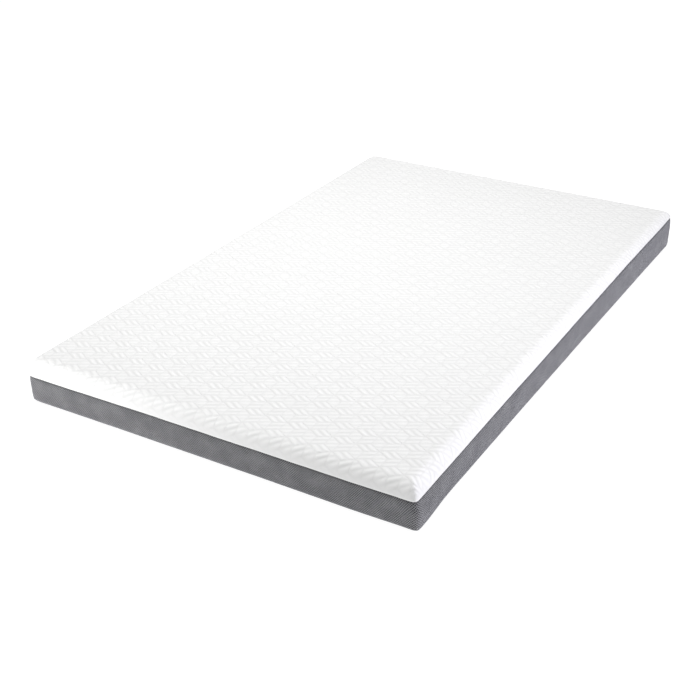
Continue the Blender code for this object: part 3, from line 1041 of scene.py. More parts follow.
@dataclass(frozen=True)
class CoverShape:
    """The finished cover's outer face, which every layer inside follows.

    The near end is the one without the zip, and left and right are as seen from there. A sharpness
    runs from 0 for a round corner to 1 for a square one. The waist is how far the side is drawn
    in, and the lean is how far the near right corner stands out below its start.
    """

    half_width: float = 0.600
    half_length: float = 0.950
    height: float = 0.130
    corner_radius: float = 0.035
    top_radius: float = 0.032
    bottom_radius: float = 0.008
    under_width: float = 0.004
    bulge: float = 0.0018
    seam_near_left: float = 0.081
    seam_near_right: float = 0.087
    seam_far_right: float = 0.108
    seam_far_left: float = 0.096
    seam_arch: float = 0.0045
    seam_wander: float = 0.0009
    near_left_sharpness: float = 0.7
    near_right_sharpness: float = 1.0
    far_right_sharpness: float = 0.7
    far_left_sharpness: float = 0.0
    corner_power: float = 6.5
    waist: float = 0.0025
    waist_height: float = 0.085
    waist_share: float = 0.4
    corner_lean: tuple[float, float] = (0.0060, 0.0030)
    lean_reach: float = 0.09
    lean_start: float = 0.087
    lean_depth: float = 0.050

    @property
    def core_width(self) -> float:
        """Half the width between the corners' centres."""
        return self.half_width - self.corner_radius

    @property
    def core_length(self) -> float:
        """Half the length between the corners' centres."""
        return self.half_length - self.corner_radius

    @property
    def corner_lap(self) -> float:
        """The length of a corner round the outside."""
        return self.corner_radius * math.pi / 2

    @property
    def lap(self) -> float:
        """The whole way round."""
        return 4 * (self.core_width + self.core_length + self.corner_lap)

    @property
    def flat(self) -> float:
        """The run before the top edge starts to turn down."""
        return self.corner_radius - self.top_radius

    @property
    def wall_start(self) -> float:
        """The run at which the side becomes upright."""
        return self.flat + self.top_radius * math.pi / 2

    @property
    def wall_end(self) -> float:
        """The run at which the side starts to turn under."""
        return self.wall_start + self.height - self.top_radius - self.bottom_radius

    @property
    def end(self) -> float:
        """The run at which the border meets the base panel."""
        return self.wall_end + self.bottom_radius * math.pi / 2 + self.under_width

    def run_at(self, height: Row | float) -> Row:
        """Return the run at which the side is at a height.

        Args:
            height: The height, above the bottom's turn.

        Returns:
            The run.
        """
        height = np.asarray(height, float)
        top = self.height - self.top_radius
        angle = np.arccos(np.clip((height - top) / self.top_radius, -1.0, 1.0))
        on_roll, on_wall = self.flat + self.top_radius * angle, self.wall_start + top - height
        return np.where(height > top, on_roll, on_wall)

    def seam_height(self, x: Row, y: Row) -> Row:
        """Return the top seam's height at a place on the outline.

        Args:
            x: The places across.
            y: The places along.

        Returns:
            The heights.
        """
        right = x / self.half_width * 0.5 + 0.5
        far = y / self.half_length * 0.5 + 0.5
        near = self.seam_near_left * (1 - right) + self.seam_near_right * right
        back = self.seam_far_left * (1 - right) + self.seam_far_right * right
        arch = self.seam_arch * right * np.sin(math.pi * far)
        wander = self.seam_wander * ripple(x * 1.1 + y * 0.9, 1.3)
        return near * (1 - far) + back * far + arch + wander

    def section(self, run: Row, depth: Row | float) -> tuple[Row, Row]:
        """Return the reach out from the corners' centres and the height, at a run and a depth.

        Args:
            run: The length along the cloth.
            depth: The distance inwards from the outer face.

        Returns:
            The reach and the height.
        """
        turn = np.clip((run - self.flat) / self.top_radius, 0.0, math.pi / 2)
        under = np.clip((run - self.wall_end) / self.bottom_radius, 0.0, math.pi / 2)
        down = np.clip(run - self.wall_start, 0.0, self.wall_end - self.wall_start)
        out = np.minimum(run, self.flat) + self.top_radius * np.sin(turn)
        reach = out - self.bottom_radius * (1 - np.cos(under))
        fallen = self.height - self.top_radius * (1 - np.cos(turn)) - down
        height = fallen - self.bottom_radius * np.sin(under)
        facing_out = np.where(under > 0, np.cos(under), np.sin(turn))
        facing_up = np.where(under > 0, -np.sin(under), np.cos(turn))
        swell = self.bulge * np.sin(math.pi * np.clip(height / self.height, 0, 1)) * facing_out
        past = np.maximum(run - self.end + self.under_width, 0.0)
        return reach + swell - depth * facing_out - past, height - depth * facing_up

    def put(self, core: Row, facing: Row, run: Row, depth: Row | float) -> Row:
        """Return the points of the cover.

        Args:
            core: The nearest points of the rectangle through the corners' centres.
            facing: The directions outwards in plan, of length 1.
            run: The length along the cloth.
            depth: The distance inwards.

        Returns:
            Rows of three numbers.
        """
        reach, height = self.section(run, depth)
        power = self.corner_power
        square = np.maximum((np.abs(facing) ** power).sum(axis=1), TINY) ** (-1 / power)
        low = np.clip(1.0 - height / self.waist_height, 0.0, 1.0)
        at_end = np.abs(facing[:, 1]) > 0.999
        along = np.where(at_end, core[:, 0] / self.core_width, core[:, 1] / self.core_length)
        drawn_in = (np.abs(facing).max(axis=1) > 0.999) & (facing[:, 1] < 0.5)
        arc = np.where(drawn_in, 1.0 - np.clip(along, -1, 1) ** 2, 0.0)
        reach = reach - self.waist * (self.waist_share + (1.0 - self.waist_share) * low) * arc
        right, far = core[:, 0] > 0, core[:, 1] > 0
        near_end = np.where(right, self.near_right_sharpness, self.near_left_sharpness)
        far_end = np.where(right, self.far_right_sharpness, self.far_left_sharpness)
        stretch = 1.0 + np.where(far, far_end, near_end) * (square - 1.0)
        beneath = np.clip((self.lean_start - height) / self.lean_depth, 0.0, 1.0)
        from_corner = np.hypot(core[:, 0] - self.core_width, core[:, 1] + self.core_length)
        lean = beneath**2 * (3.0 - 2.0 * beneath) * np.exp(-((from_corner / self.lean_reach) ** 2))
        plan = core + facing * (reach * stretch)[:, None] + lean[:, None] * np.array(self.corner_lean)
        return np.column_stack([plan, height])

    def outline(self, lap: Row) -> tuple[Row, Row]:
        """Return the core points and directions at laps, counted anticlockwise.

        Args:
            lap: Lengths from the middle of the far end.

        Returns:
            The core points and the directions.
        """
        w, b, q = self.core_width, self.core_length, self.corner_lap
        sides = (
            (w, (0, b), (-w, b), (0, 1)),
            (2 * b, (-w, b), (-w, -b), (-1, 0)),
            (2 * w, (-w, -b), (w, -b), (0, -1)),
            (2 * b, (w, -b), (w, b), (1, 0)),
            (w, (w, b), (0, b), (0, 1)),
        )
        core, facing = np.zeros((len(lap), 2)), np.zeros((len(lap), 2))
        lap = np.where(lap < 0, lap + self.lap, lap)
        start = 0.0
        for index, (length, first, last, out) in enumerate(sides):
            on = lap >= start - 1e-12
            share = np.clip((lap - start) / length, 0, 1)[:, None]
            core[on] = (np.array(first) * (1 - share) + np.array(last) * share)[on]
            facing[on] = out
            start += length
            if index < 4:
                on = lap > start
                angle = math.atan2(out[1], out[0]) + np.clip((lap - start) / q, 0, 1) * math.pi / 2
                facing[on] = np.column_stack([np.cos(angle), np.sin(angle)])[on]
                core[on] = last
                start += q
        return core, facing

    def strip(
        self, name: str, laps: tuple[float, float], runs: Runs, lay: Lay, cell: float, rows: int
    ) -> bpy.types.Object:
        """Make a strip of cloth that lies round the side.

        Args:
            name: The piece's name.
            laps: Where it starts and ends.
            runs: Gives its upper and lower run at places on the outline.
            lay: How it lies on the side.
            cell: The length of its cells.
            rows: The number of its cells from top to bottom.

        Returns:
            The strip, without thickness, mapped in metres.
        """
        obj = add_cloth(name, round((laps[1] - laps[0]) / cell), rows)
        unit = points_of(obj)
        lap = laps[0] + (unit[:, 0] + 0.5) * (laps[1] - laps[0])
        core, facing = self.outline(lap)
        x, y = (core + facing * self.corner_radius).T
        upper, lower = runs(x, y)
        run = upper + (lower - upper) * (0.5 - unit[:, 1])
        move_points(obj, self.put(core, facing, run, lay.depth_at(lap, run, upper, lower)))
        write_cloth_map(obj, np.column_stack([lap, run - upper]))
        if abs(laps[1] - laps[0] - self.lap) < SAME:
            edit_all(obj)
            bpy.ops.mesh.remove_doubles(threshold=CLOSE)
            leave_edit()
        return obj

    def blanket(
        self, name: str, depth: float, cell: float, skirt: Callable[[Row, Row], Row]
    ) -> bpy.types.Object:
        """Make a panel that covers the top and turns down over the edges.

        Args:
            name: The piece's name.
            depth: Its outer face's depth.
            cell: The size of its cells.
            skirt: Gives the run at which it ends, at places on the outline.

        Returns:
            The panel, without thickness, mapped in metres.
        """
        reach = float(np.max(skirt(np.array([0.0]), np.array([0.0]))))
        turned = round(reach / cell)
        across = round(2 * self.core_width / cell)
        along = round(2 * self.core_length / cell)
        obj = add_cloth(name, across + 2 * turned, along + 2 * turned)

        def on_mitre(face: bpy.types.MeshPolygon, slope: int) -> bool:
            """Say whether a cell lies on a corner's diagonal.

            Args:
                face: The cell.
                slope: 1 for a diagonal that rises to the right, -1 for one that falls.

            Returns:
                Whether it does.
            """
            x = abs(face.center.x) * (across + 2 * turned) - across / 2
            y = abs(face.center.y) * (along + 2 * turned) - along / 2
            return x > 0 and abs(x - y) < 0.01 and face.center.x * face.center.y * slope > 0

        for split, slope in (("FIXED", 1), ("FIXED_ALTERNATE", -1)):
            select_faces(obj, lambda face: on_mitre(face, slope))
            bpy.ops.mesh.quads_convert_to_tris(quad_method=split, ngon_method="BEAUTY")
            leave_edit()
        unit = points_of(obj)
        ix = np.round((unit[:, 0] + 0.5) * (across + 2 * turned)) - turned
        iy = np.round((unit[:, 1] + 0.5) * (along + 2 * turned)) - turned
        out_x = np.where(ix < 0, ix, np.maximum(ix - across, 0))
        out_y = np.where(iy < 0, iy, np.maximum(iy - along, 0))
        ring = np.maximum(np.abs(out_x), np.abs(out_y))
        length = np.maximum(np.hypot(out_x, out_y), TINY)
        facing = np.column_stack([out_x, out_y]) / length[:, None]
        core_x = (np.clip(ix, 0, across) / across - 0.5) * 2 * self.core_width
        core_y = (np.clip(iy, 0, along) / along - 0.5) * 2 * self.core_length
        core = np.column_stack([core_x, core_y])
        outline = core + facing * self.corner_radius
        end = skirt(outline[:, 0], outline[:, 1])
        run = ring / turned * end
        flat = core + np.column_stack([out_x, out_y]) / turned * end[:, None]
        move_points(obj, self.put(core, facing, run, depth))
        write_cloth_map(obj, flat)
        return obj


@dataclass
class Cover:
    """The zipped cover: top panel, mesh border, base panel and what is sewn inside them.

    The knit settles flat between two heights over the seam, and has a lip just above it.
    The mesh band's ends are at split_x from the middle of the far end, and the ends of the
    strips beside the zip are at strip_x.
    """

    shape: CoverShape = CoverShape()
    knit: KnitFinish = KnitFinish()
    mesh: MeshFinish = MeshFinish()
    top_cell: float = 0.0045
    top_cloth: float = 0.0022
    top_relief: float = 0.0007
    top_swell: float = 0.0007
    settle_height: float = 0.022
    settle_reach: float = 0.024
    pressed_share: float = 0.1
    lip_rise: float = 0.0010
    lip_height: float = 0.006
    lip_reach: float = 0.009
    wadding_depth: float = 0.0038
    wadding_cell: float = 0.022
    wadding_short: float = 0.012
    wadding_thickness: float = 0.0045
    border_cloth: float = 0.0036
    border_cell: float = 0.006
    inner_cell: float = 0.012
    lining_cloth: float = 0.0010
    lining_width: float = 0.095
    lining_short: tuple[float, float] = (0.004, 0.003)
    binding_cloth: float = 0.0008
    binding_width: float = 0.014
    base_binding_width: float = 0.016
    base_binding_corner: float = 0.0224
    base_edge: float = 0.0018
    base_hem: float = 0.006
    band_lay: Lay = Lay(0.0004, 0.0006, 0.0034)
    upper_lay: Lay = Lay(0.0004, 0.0003, 0.0030)
    lower_lay: Lay = Lay(0.0004, 0.0003)
    lining_lay: Lay = Lay(0.0050, 0.0, 0.0034)
    binding_lay: Lay = Lay(0.0086)
    seam_gap: float = 0.0003
    base_gap: float = 0.0006
    zip_height: float = 0.034
    zip_opening: float = 0.014
    split_x: float = 0.545
    strip_x: float = 0.5447

    @property
    def above_zip(self) -> float:
        """The run of the opening's upper edge."""
        return float(self.shape.run_at(self.zip_height + self.zip_opening / 2))

    @property
    def below_zip(self) -> float:
        """The run of the opening's lower edge."""
        return float(self.shape.run_at(self.zip_height - self.zip_opening / 2))

    def build(self) -> None:
        """Make every piece of the cover."""
        self.make_top()
        self.make_wadding()
        self.make_border()
        self.make_base()
        self.make_tapes()

    def seam_run(self, x: Row, y: Row) -> Row:
        """Return the run of the top seam at a place on the outline."""
        return self.shape.run_at(self.shape.seam_height(x, y))

    def make_top(self) -> None:
        """Make the knit panel, with its basket relief, a slight swell and a lip at the seam."""
        shape = self.shape
        obj = shape.blanket(
            "quilted_top", 0.0, self.top_cell, lambda x, y: self.seam_run(x, y) - self.seam_gap
        )
        points, cloth = points_of(obj), read_cloth_map(obj)
        x, y = cloth.T
        normals = np.empty(len(points) * 3)
        obj.data.vertex_normals.foreach_get("vector", normals)
        relief = self.knit.pattern.height(x, y, ArrayMaths)
        over = points[:, 2] - shape.seam_height(points[:, 0], points[:, 1])
        settle = np.clip((over - self.settle_height) / self.settle_reach, 0, 1)
        swell = self.top_swell * ripple(x * 1.7 + y * 0.6, 2.1) * ripple(y * 1.3, 0.3) * settle
        lip = self.lip_rise * np.exp(-(((over - self.lip_height) / self.lip_reach) ** 2))
        share = self.pressed_share + (1.0 - self.pressed_share) * settle
        rise = (relief - 1.0) * self.top_relief * share + swell + lip
        move_points(obj, points + normals.reshape(-1, 3) * rise[:, None])
        thicken(obj, self.top_cloth, 0.0009, even=False)
        soften(obj, 60)
        hand_over(obj, self.knit.material(), "knit", "top_panel")

    def make_wadding(self) -> None:
        """Make the filling behind the knit."""
        obj = self.shape.blanket(
            "wadding_layer",
            self.wadding_depth,
            self.wadding_cell,
            lambda x, y: self.seam_run(x, y) - self.wadding_short,
        )
        thicken(obj, self.wadding_thickness, 0.001)
        soften(obj)
        finish = FibreFinish("soft_wadding", (0.86, 0.86, 0.84), (0.70, 0.70, 0.68))
        hand_over(obj, finish.material(), "wadding", "top_wadding")

    def border_runs(self, x: Row, y: Row) -> tuple[Row, Row]:
        """Return the mesh band's upper and lower run."""
        return self.seam_run(x, y) + self.seam_gap, np.full_like(x, self.shape.end)

    def upper_strip_runs(self, x: Row, y: Row) -> tuple[Row, Row]:
        """Return the runs of the strip above the zip."""
        return self.seam_run(x, y) + self.seam_gap, np.full_like(x, self.above_zip)

    def lower_strip_runs(self, x: Row, y: Row) -> tuple[Row, Row]:
        """Return the runs of the strip below the zip."""
        return np.full_like(x, self.below_zip), np.full_like(x, self.shape.end)

    def lining_runs(self, x: Row, y: Row) -> tuple[Row, Row]:
        """Return the lining's runs."""
        short = self.lining_short
        return self.seam_run(x, y) + short[0], np.full_like(x, self.shape.end - short[1])

    def binding_runs(self, x: Row, y: Row) -> tuple[Row, Row]:
        """Return the runs of the tape that binds the top seam."""
        half = self.binding_width / 2
        return self.seam_run(x, y) - half, self.seam_run(x, y) + half

    def make_border(self) -> None:
        """Make the mesh band, its lining, and the two strips beside the zip."""
        shape, lap = self.shape, self.shape.lap
        cloth = self.mesh.material()
        around, far_end = (self.split_x, lap - self.split_x), (-self.strip_x, self.strip_x)
        above, below = self.upper_strip_runs, self.lower_strip_runs
        pieces = (
            ("mesh_band", "border_band", around, self.border_runs, self.band_lay, 18),
            ("mesh_strip_above_zip", "border_upper_strip", far_end, above, self.upper_lay, 10),
            ("mesh_strip_below_zip", "border_lower_strip", far_end, below, self.lower_lay, 8),
        )
        for name, node, laps, runs, lay, rows in pieces:
            obj = shape.strip(name, laps, runs, lay, self.border_cell, rows)
            thicken(obj, self.border_cloth, 0.0010)
            soften(obj, 50)
            hand_over(obj, cloth, "spacer_mesh", node)
            middle = np.array([0.0]), np.array([shape.half_length if laps is far_end else 0.0])
            upper, lower = runs(*middle)
            size = (laps[1] - laps[0], float(lower[0] - upper[0]))
        lining = shape.strip(
            "border_lining_cloth", around, self.lining_runs, self.lining_lay, self.inner_cell, 12
        )
        thicken(lining, self.lining_cloth)
        soften(lining)
        light, dark = (0.50, 0.50, 0.51), (0.36, 0.36, 0.37)
        finish = WovenFinish("grey_lining", light, dark, coordinates=Coordinates.CLOTH)
        hand_over(lining, finish.material(), "lining", "border_lining")
        size = (lap - 2 * self.split_x, self.lining_width)

    def make_base(self) -> None:
        """Make the non-slip panel that the mattress rests on."""
        shape = self.shape
        low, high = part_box("base_panel")
        count = round(shape.lap / self.border_cell)
        clear_selection()
        bpy.ops.mesh.primitive_circle_add(vertices=count, radius=1.0, fill_type="NGON")
        obj = named("non_slip_base")
        core, facing = shape.outline(np.arange(count) * shape.lap / count)
        move_points(obj, shape.put(core, facing, np.full(count, shape.end + self.base_gap), 0.0))
        select_faces(obj, lambda face: True)
        extrude_picked(0, 0, high.z - low.z)
        bpy.ops.mesh.select_all(action="SELECT")
        bpy.ops.mesh.normals_make_consistent(inside=False)
        leave_edit()
        select_edges(obj, lambda a, b: a.z < CLOSE and b.z < CLOSE)
        round_picked(self.base_edge, 3)
        select_faces(obj, large_and_level)
        inset_picked((self.base_hem, 0.0))
        soften(obj)
        hand_over(obj, NonSlipFinish().material(), "non_slip_cloth", "base_panel")

    def make_tapes(self) -> None:
        """Make the tapes that bind the two seams on the inside."""
        shape = self.shape
        light, dark = (0.26, 0.26, 0.27), (0.13, 0.13, 0.14)
        webbing = WovenFinish("seam_webbing", light, dark, coordinates=Coordinates.CLOTH)
        cloth = webbing.material()
        laps = (0.0, shape.lap)
        top = shape.strip(
            "top_seam_binding", laps, self.binding_runs, self.binding_lay, self.inner_cell, 4
        )
        thicken(top, self.binding_cloth)
        soften(top)
        hand_over(top, cloth, "webbing", "top_seam_tape")
        low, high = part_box("base_seam_tape")
        base = add_block("base_seam_binding", low, high)
        select_edges(base, upright)
        round_picked(self.base_binding_corner, 6)
        select_faces(base, lambda face: abs(face.normal.z) > 0.9)
        inset_picked((self.base_binding_width, 0.0))
        select_faces(base, large_and_level)
        bpy.ops.mesh.bridge_edge_loops()
        leave_edit()
        soften(base)
        finish = WovenFinish("base_webbing", light, dark)
        hand_over(base, finish.material(), "webbing", "base_seam_tape")


@dataclass
class Stitching:
    """The rows of thread that hold the cover together.

    The insets are the rows' distances from the seam and from the zip's two edges.
    """

    pitch: float = 0.0042
    length: float = 0.0032
    radius: float = 0.00033
    seam_inset: float = 0.0062
    zip_inset: float = 0.0032
    end_gap: float = 0.003
    colour: Colour = (0.17, 0.17, 0.178)

    def build(self, cover: Cover) -> None:
        """Sew the rows below the top seam and beside the zip.

        Args:
            cover: The cover that they are sewn in.
        """
        shape, gap = cover.shape, self.end_gap
        grey = self.thread("grey_thread", self.colour)
        all_round = (cover.split_x + gap, shape.lap - cover.split_x - gap)
        far_end = (-cover.strip_x + gap, cover.strip_x - gap)
        band = (cover.border_runs, cover.band_lay)
        above = (cover.upper_strip_runs, cover.upper_lay)
        below = (cover.lower_strip_runs, cover.lower_lay)
        self.row("seam_stitches_band", all_round, *band, self.seam_inset, shape, grey)
        self.row("seam_stitches_far_end", far_end, *above, self.seam_inset, shape, grey)
        self.row("zip_stitches_above", far_end, *above, -self.zip_inset, shape, grey)
        self.row("zip_stitches_below", far_end, *below, self.zip_inset, shape, grey)

    def thread(self, name: str, colour: Colour) -> bpy.types.Material:
        """Make a twisted thread's material.

        Args:
            name: The material's name.
            colour: The thread's lighter colour.

        Returns:
            The material.
        """
        dark = tuple(c * 0.6 for c in colour)
        twist = {"thread": 0.00022, "rise": 0.00005, "roughness": 0.6, "lean": 1.0}
        return WovenFinish(name, colour, dark, **twist).material()

    def one_stitch(self) -> tuple[Row, list[list[int]]]:
        """Make one stitch, a rounded bar from 0 to 1 along X, of radius 1.

        Returns:
            Its points and its faces.
        """
        clear_selection()
        bpy.ops.mesh.primitive_cylinder_add(
            vertices=6, radius=1.0, depth=1.0, location=(0.5, 0, 0), rotation=(0, math.pi / 2, 0)
        )
        bar = named("stitch_master")
        select_faces(bar, lambda face: abs(face.normal.x) > 0.9)
        inset_picked((0.45, 0.0))
        points = points_of(bar)
        ring = np.hypot(points[:, 1], points[:, 2]) > 0.8
        points[ring, 0] = 0.12 + points[ring, 0] * 0.76
        faces = [list(face.vertices) for face in bar.data.polygons]
        bpy.data.objects.remove(bar, do_unlink=True)
        return points, faces

    def row(
        self,
        name: str,
        laps: tuple[float, float],
        runs: Runs,
        lay: Lay,
        inset: float,
        shape: CoverShape,
        thread: bpy.types.Material,
    ) -> None:
        """Sew one row along a strip.

        Args:
            name: The row's name.
            laps: Where it starts and ends.
            runs: The strip's upper and lower runs.
            lay: How the strip lies.
            inset: The row's distance from the upper edge, or from the lower one if negative.
            shape: The cover's shape.
            thread: The thread's material.
        """
        count = int((laps[1] - laps[0]) / self.pitch)
        starts = laps[0] + self.pitch * np.arange(count)
        ends = []
        for lap in (starts, starts + self.length):
            core, facing = shape.outline(lap)
            x, y = (core + facing * shape.corner_radius).T
            upper, lower = runs(x, y)
            run = upper + inset if inset > 0 else lower + inset
            depth = lay.depth_at(lap, run, upper, lower) - self.radius * 0.5
            ends.append(shape.put(core, facing, run, depth))
        outward = np.column_stack([facing, np.zeros(count)])
        first, last = ends
        side = np.cross(last - first, outward)
        side /= np.linalg.norm(side, axis=1)[:, None]
        master, faces = self.one_stitch()
        along = first[:, None, :] + (last - first)[:, None, :] * master[None, :, :1]
        sideways = side[:, None, :] * master[None, :, 1:2]
        round_it = sideways + outward[:, None, :] * master[None, :, 2:3]
        points = (along + round_it * self.radius).reshape(-1, 3)
        copies = [[v + k * len(master) for v in face] for k in range(count) for face in faces]
        mesh = bpy.data.meshes.new(name)
        mesh.from_pydata(points.tolist(), [], copies)
        obj = bpy.data.objects.new(name, mesh)
        bpy.context.scene.collection.objects.link(obj)
        edit_all(obj)
        bpy.ops.mesh.normals_make_consistent(inside=False)
        leave_edit()
        soften(obj, 70)
        hand_over(obj, thread, "webbing")


# ---------------------------------------------------------------- the core


@dataclass
class Core:
    """The foam core in its stretch sleeve.

    The grooves are meant to cut the airflow layer's top into blocks (see make_airflow). The
    cut edge is the radius of a foam layer's edge that lies against another layer.
    """

    corner: float = 0.0238
    comfort_edge: float = 0.0185
    support_edge: float = 0.0065
    cut_edge: float = 0.0012
    groove: float = 0.008
    groove_depth: float = 0.020
    block_edge: float = 0.0016
    blocks_across: int = 8
    blocks_along: int = 12
    sleeve_corner: float = 0.0253
    sleeve_top: float = 0.0195
    sleeve_bottom: float = 0.0075
    sleeve_hem: float = 0.012
    sleeve_cloth: float = 0.0008

    def build(self) -> None:
        """Make the sleeve and the three layers."""
        blue, grey = ((0.74, 0.80, 0.82), (0.60, 0.67, 0.70)), ((0.62, 0.62, 0.60), (0.48, 0.48, 0.47))
        self.make_slab("comfort", blue, self.comfort_edge, 0.0)
        self.make_slab("support", grey, 0.0, self.support_edge)
        self.make_airflow()
        self.make_sleeve()

    def make_slab(self, kind: str, shades: tuple[Colour, Colour], top: float, bottom: float) -> None:
        """Make a plain foam layer with rounded corners and edges.

        Args:
            kind: The first word of its name, its CAD node and its material slot.
            shades: The foam's lighter colour, and the colour in its cells.
            top: The radius of its top edges, or 0.
            bottom: The radius of its bottom edges, or 0.
        """
        name, node, slot = kind + "_foam_layer", kind + "_layer", kind + "_foam"
        low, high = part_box(node)
        obj = add_block(name, low, high)
        select_edges(obj, upright)
        round_picked(self.corner, 6)
        for radius, level in ((top, high.z), (bottom, low.z)):
            round_level(obj, level, radius or self.cut_edge, 5 if radius else 2)
        soften(obj)
        hand_over(obj, FoamFinish(name + "_foam", *shades).material(), slot, node)

    def lines(self, half: float, blocks: int) -> list[float]:
        """Return the places of the blocks' sides along one direction.

        Args:
            half: Half the layer's size.
            blocks: The number of blocks.

        Returns:
            The sides' places, from one end to the other.
        """
        pitch, gap = 2 * half / blocks, self.groove / 2
        cuts = [-half + pitch * k for k in range(1, blocks)]
        return [-half, *(cut + side * gap for cut in cuts for side in (-1, 1)), half]

    def make_airflow(self) -> None:
        """Make the middle layer, meant to have its top cut into blocks by air channels.

        Known fault: the first extrusion leaves the upper faces facing down, and only the lower
        ones are then turned outwards. So is_block finds no face, no block is raised, and the
        layer stays a plain slab that ends one groove's depth too low.
        """
        low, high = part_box("airflow_layer")
        across, along = 2 * self.blocks_across - 1, 2 * self.blocks_along - 1
        obj = add_cloth("airflow_foam_layer", across, along)
        unit = points_of(obj)
        columns = np.array(self.lines(high.x, self.blocks_across))
        rows = np.array(self.lines(high.y, self.blocks_along))
        x = columns[np.round((unit[:, 0] + 0.5) * across).astype(int)]
        y = rows[np.round((unit[:, 1] + 0.5) * along).astype(int)]
        wide = self.groove * 2
        upper = high.z - self.groove_depth
        move_points(obj, np.column_stack([x, y, np.full(len(x), upper)]))
        select_faces(obj, lambda face: True)
        extrude_picked(0, 0, low.z - high.z + self.groove_depth)
        bpy.ops.mesh.normals_make_consistent(inside=False)
        leave_edit()

        def is_block(face: bpy.types.MeshPolygon) -> bool:
            """Say whether a face is the foot of a block.

            Args:
                face: The face.

            Returns:
                Whether it is.
            """
            spots = [obj.data.vertices[v].co for v in face.vertices]
            spans = [max(s[k] for s in spots) - min(s[k] for s in spots) for k in (0, 1)]
            level = abs(face.center.z - upper) < CLOSE
            return face.normal.z > 0.9 and level and min(spans) > wide

        def at_corner(place: Vector) -> bool:
            """Say whether a point is at one of the layer's corners."""
            return abs(place.x) > high.x - CLOSE and abs(place.y) > high.y - CLOSE

        select_faces(obj, is_block)
        extrude_picked(0, 0, self.groove_depth)
        leave_edit()
        select_edges(obj, lambda a, b: upright(a, b) and at_corner(a))
        round_picked(self.corner, 6)
        round_level(obj, high.z, self.block_edge, 2)
        soften(obj)
        finish = FoamFinish("airflow_foam", (0.80, 0.76, 0.64), (0.64, 0.60, 0.48), 0.0019)
        hand_over(obj, finish.material(), "airflow_foam", "airflow_layer")

    def make_sleeve(self) -> None:
        """Make the stretch sleeve, open at the far end but for its hem."""
        low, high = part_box("inner_sleeve")
        obj = add_block("stockinette_sleeve", low, high)
        select_edges(obj, upright)
        round_picked(self.sleeve_corner, 6)
        round_level(obj, high.z, self.sleeve_top, 5)
        round_level(obj, low.z, self.sleeve_bottom, 5)
        select_faces(obj, lambda face: face.normal.y > 0.99 and face.area > 0.01)
        bpy.ops.mesh.inset(thickness=self.sleeve_hem, depth=0.0)
        bpy.ops.mesh.delete(type="FACE")
        leave_edit()
        thicken(obj, self.sleeve_cloth)
        soften(obj)
        finish = FibreFinish("stockinette", (0.82, 0.81, 0.78), (0.66, 0.65, 0.62), 0.0014)
        hand_over(obj, finish.material(), "stockinette", "inner_sleeve")


# ---------------------------------------------------------------- the zip


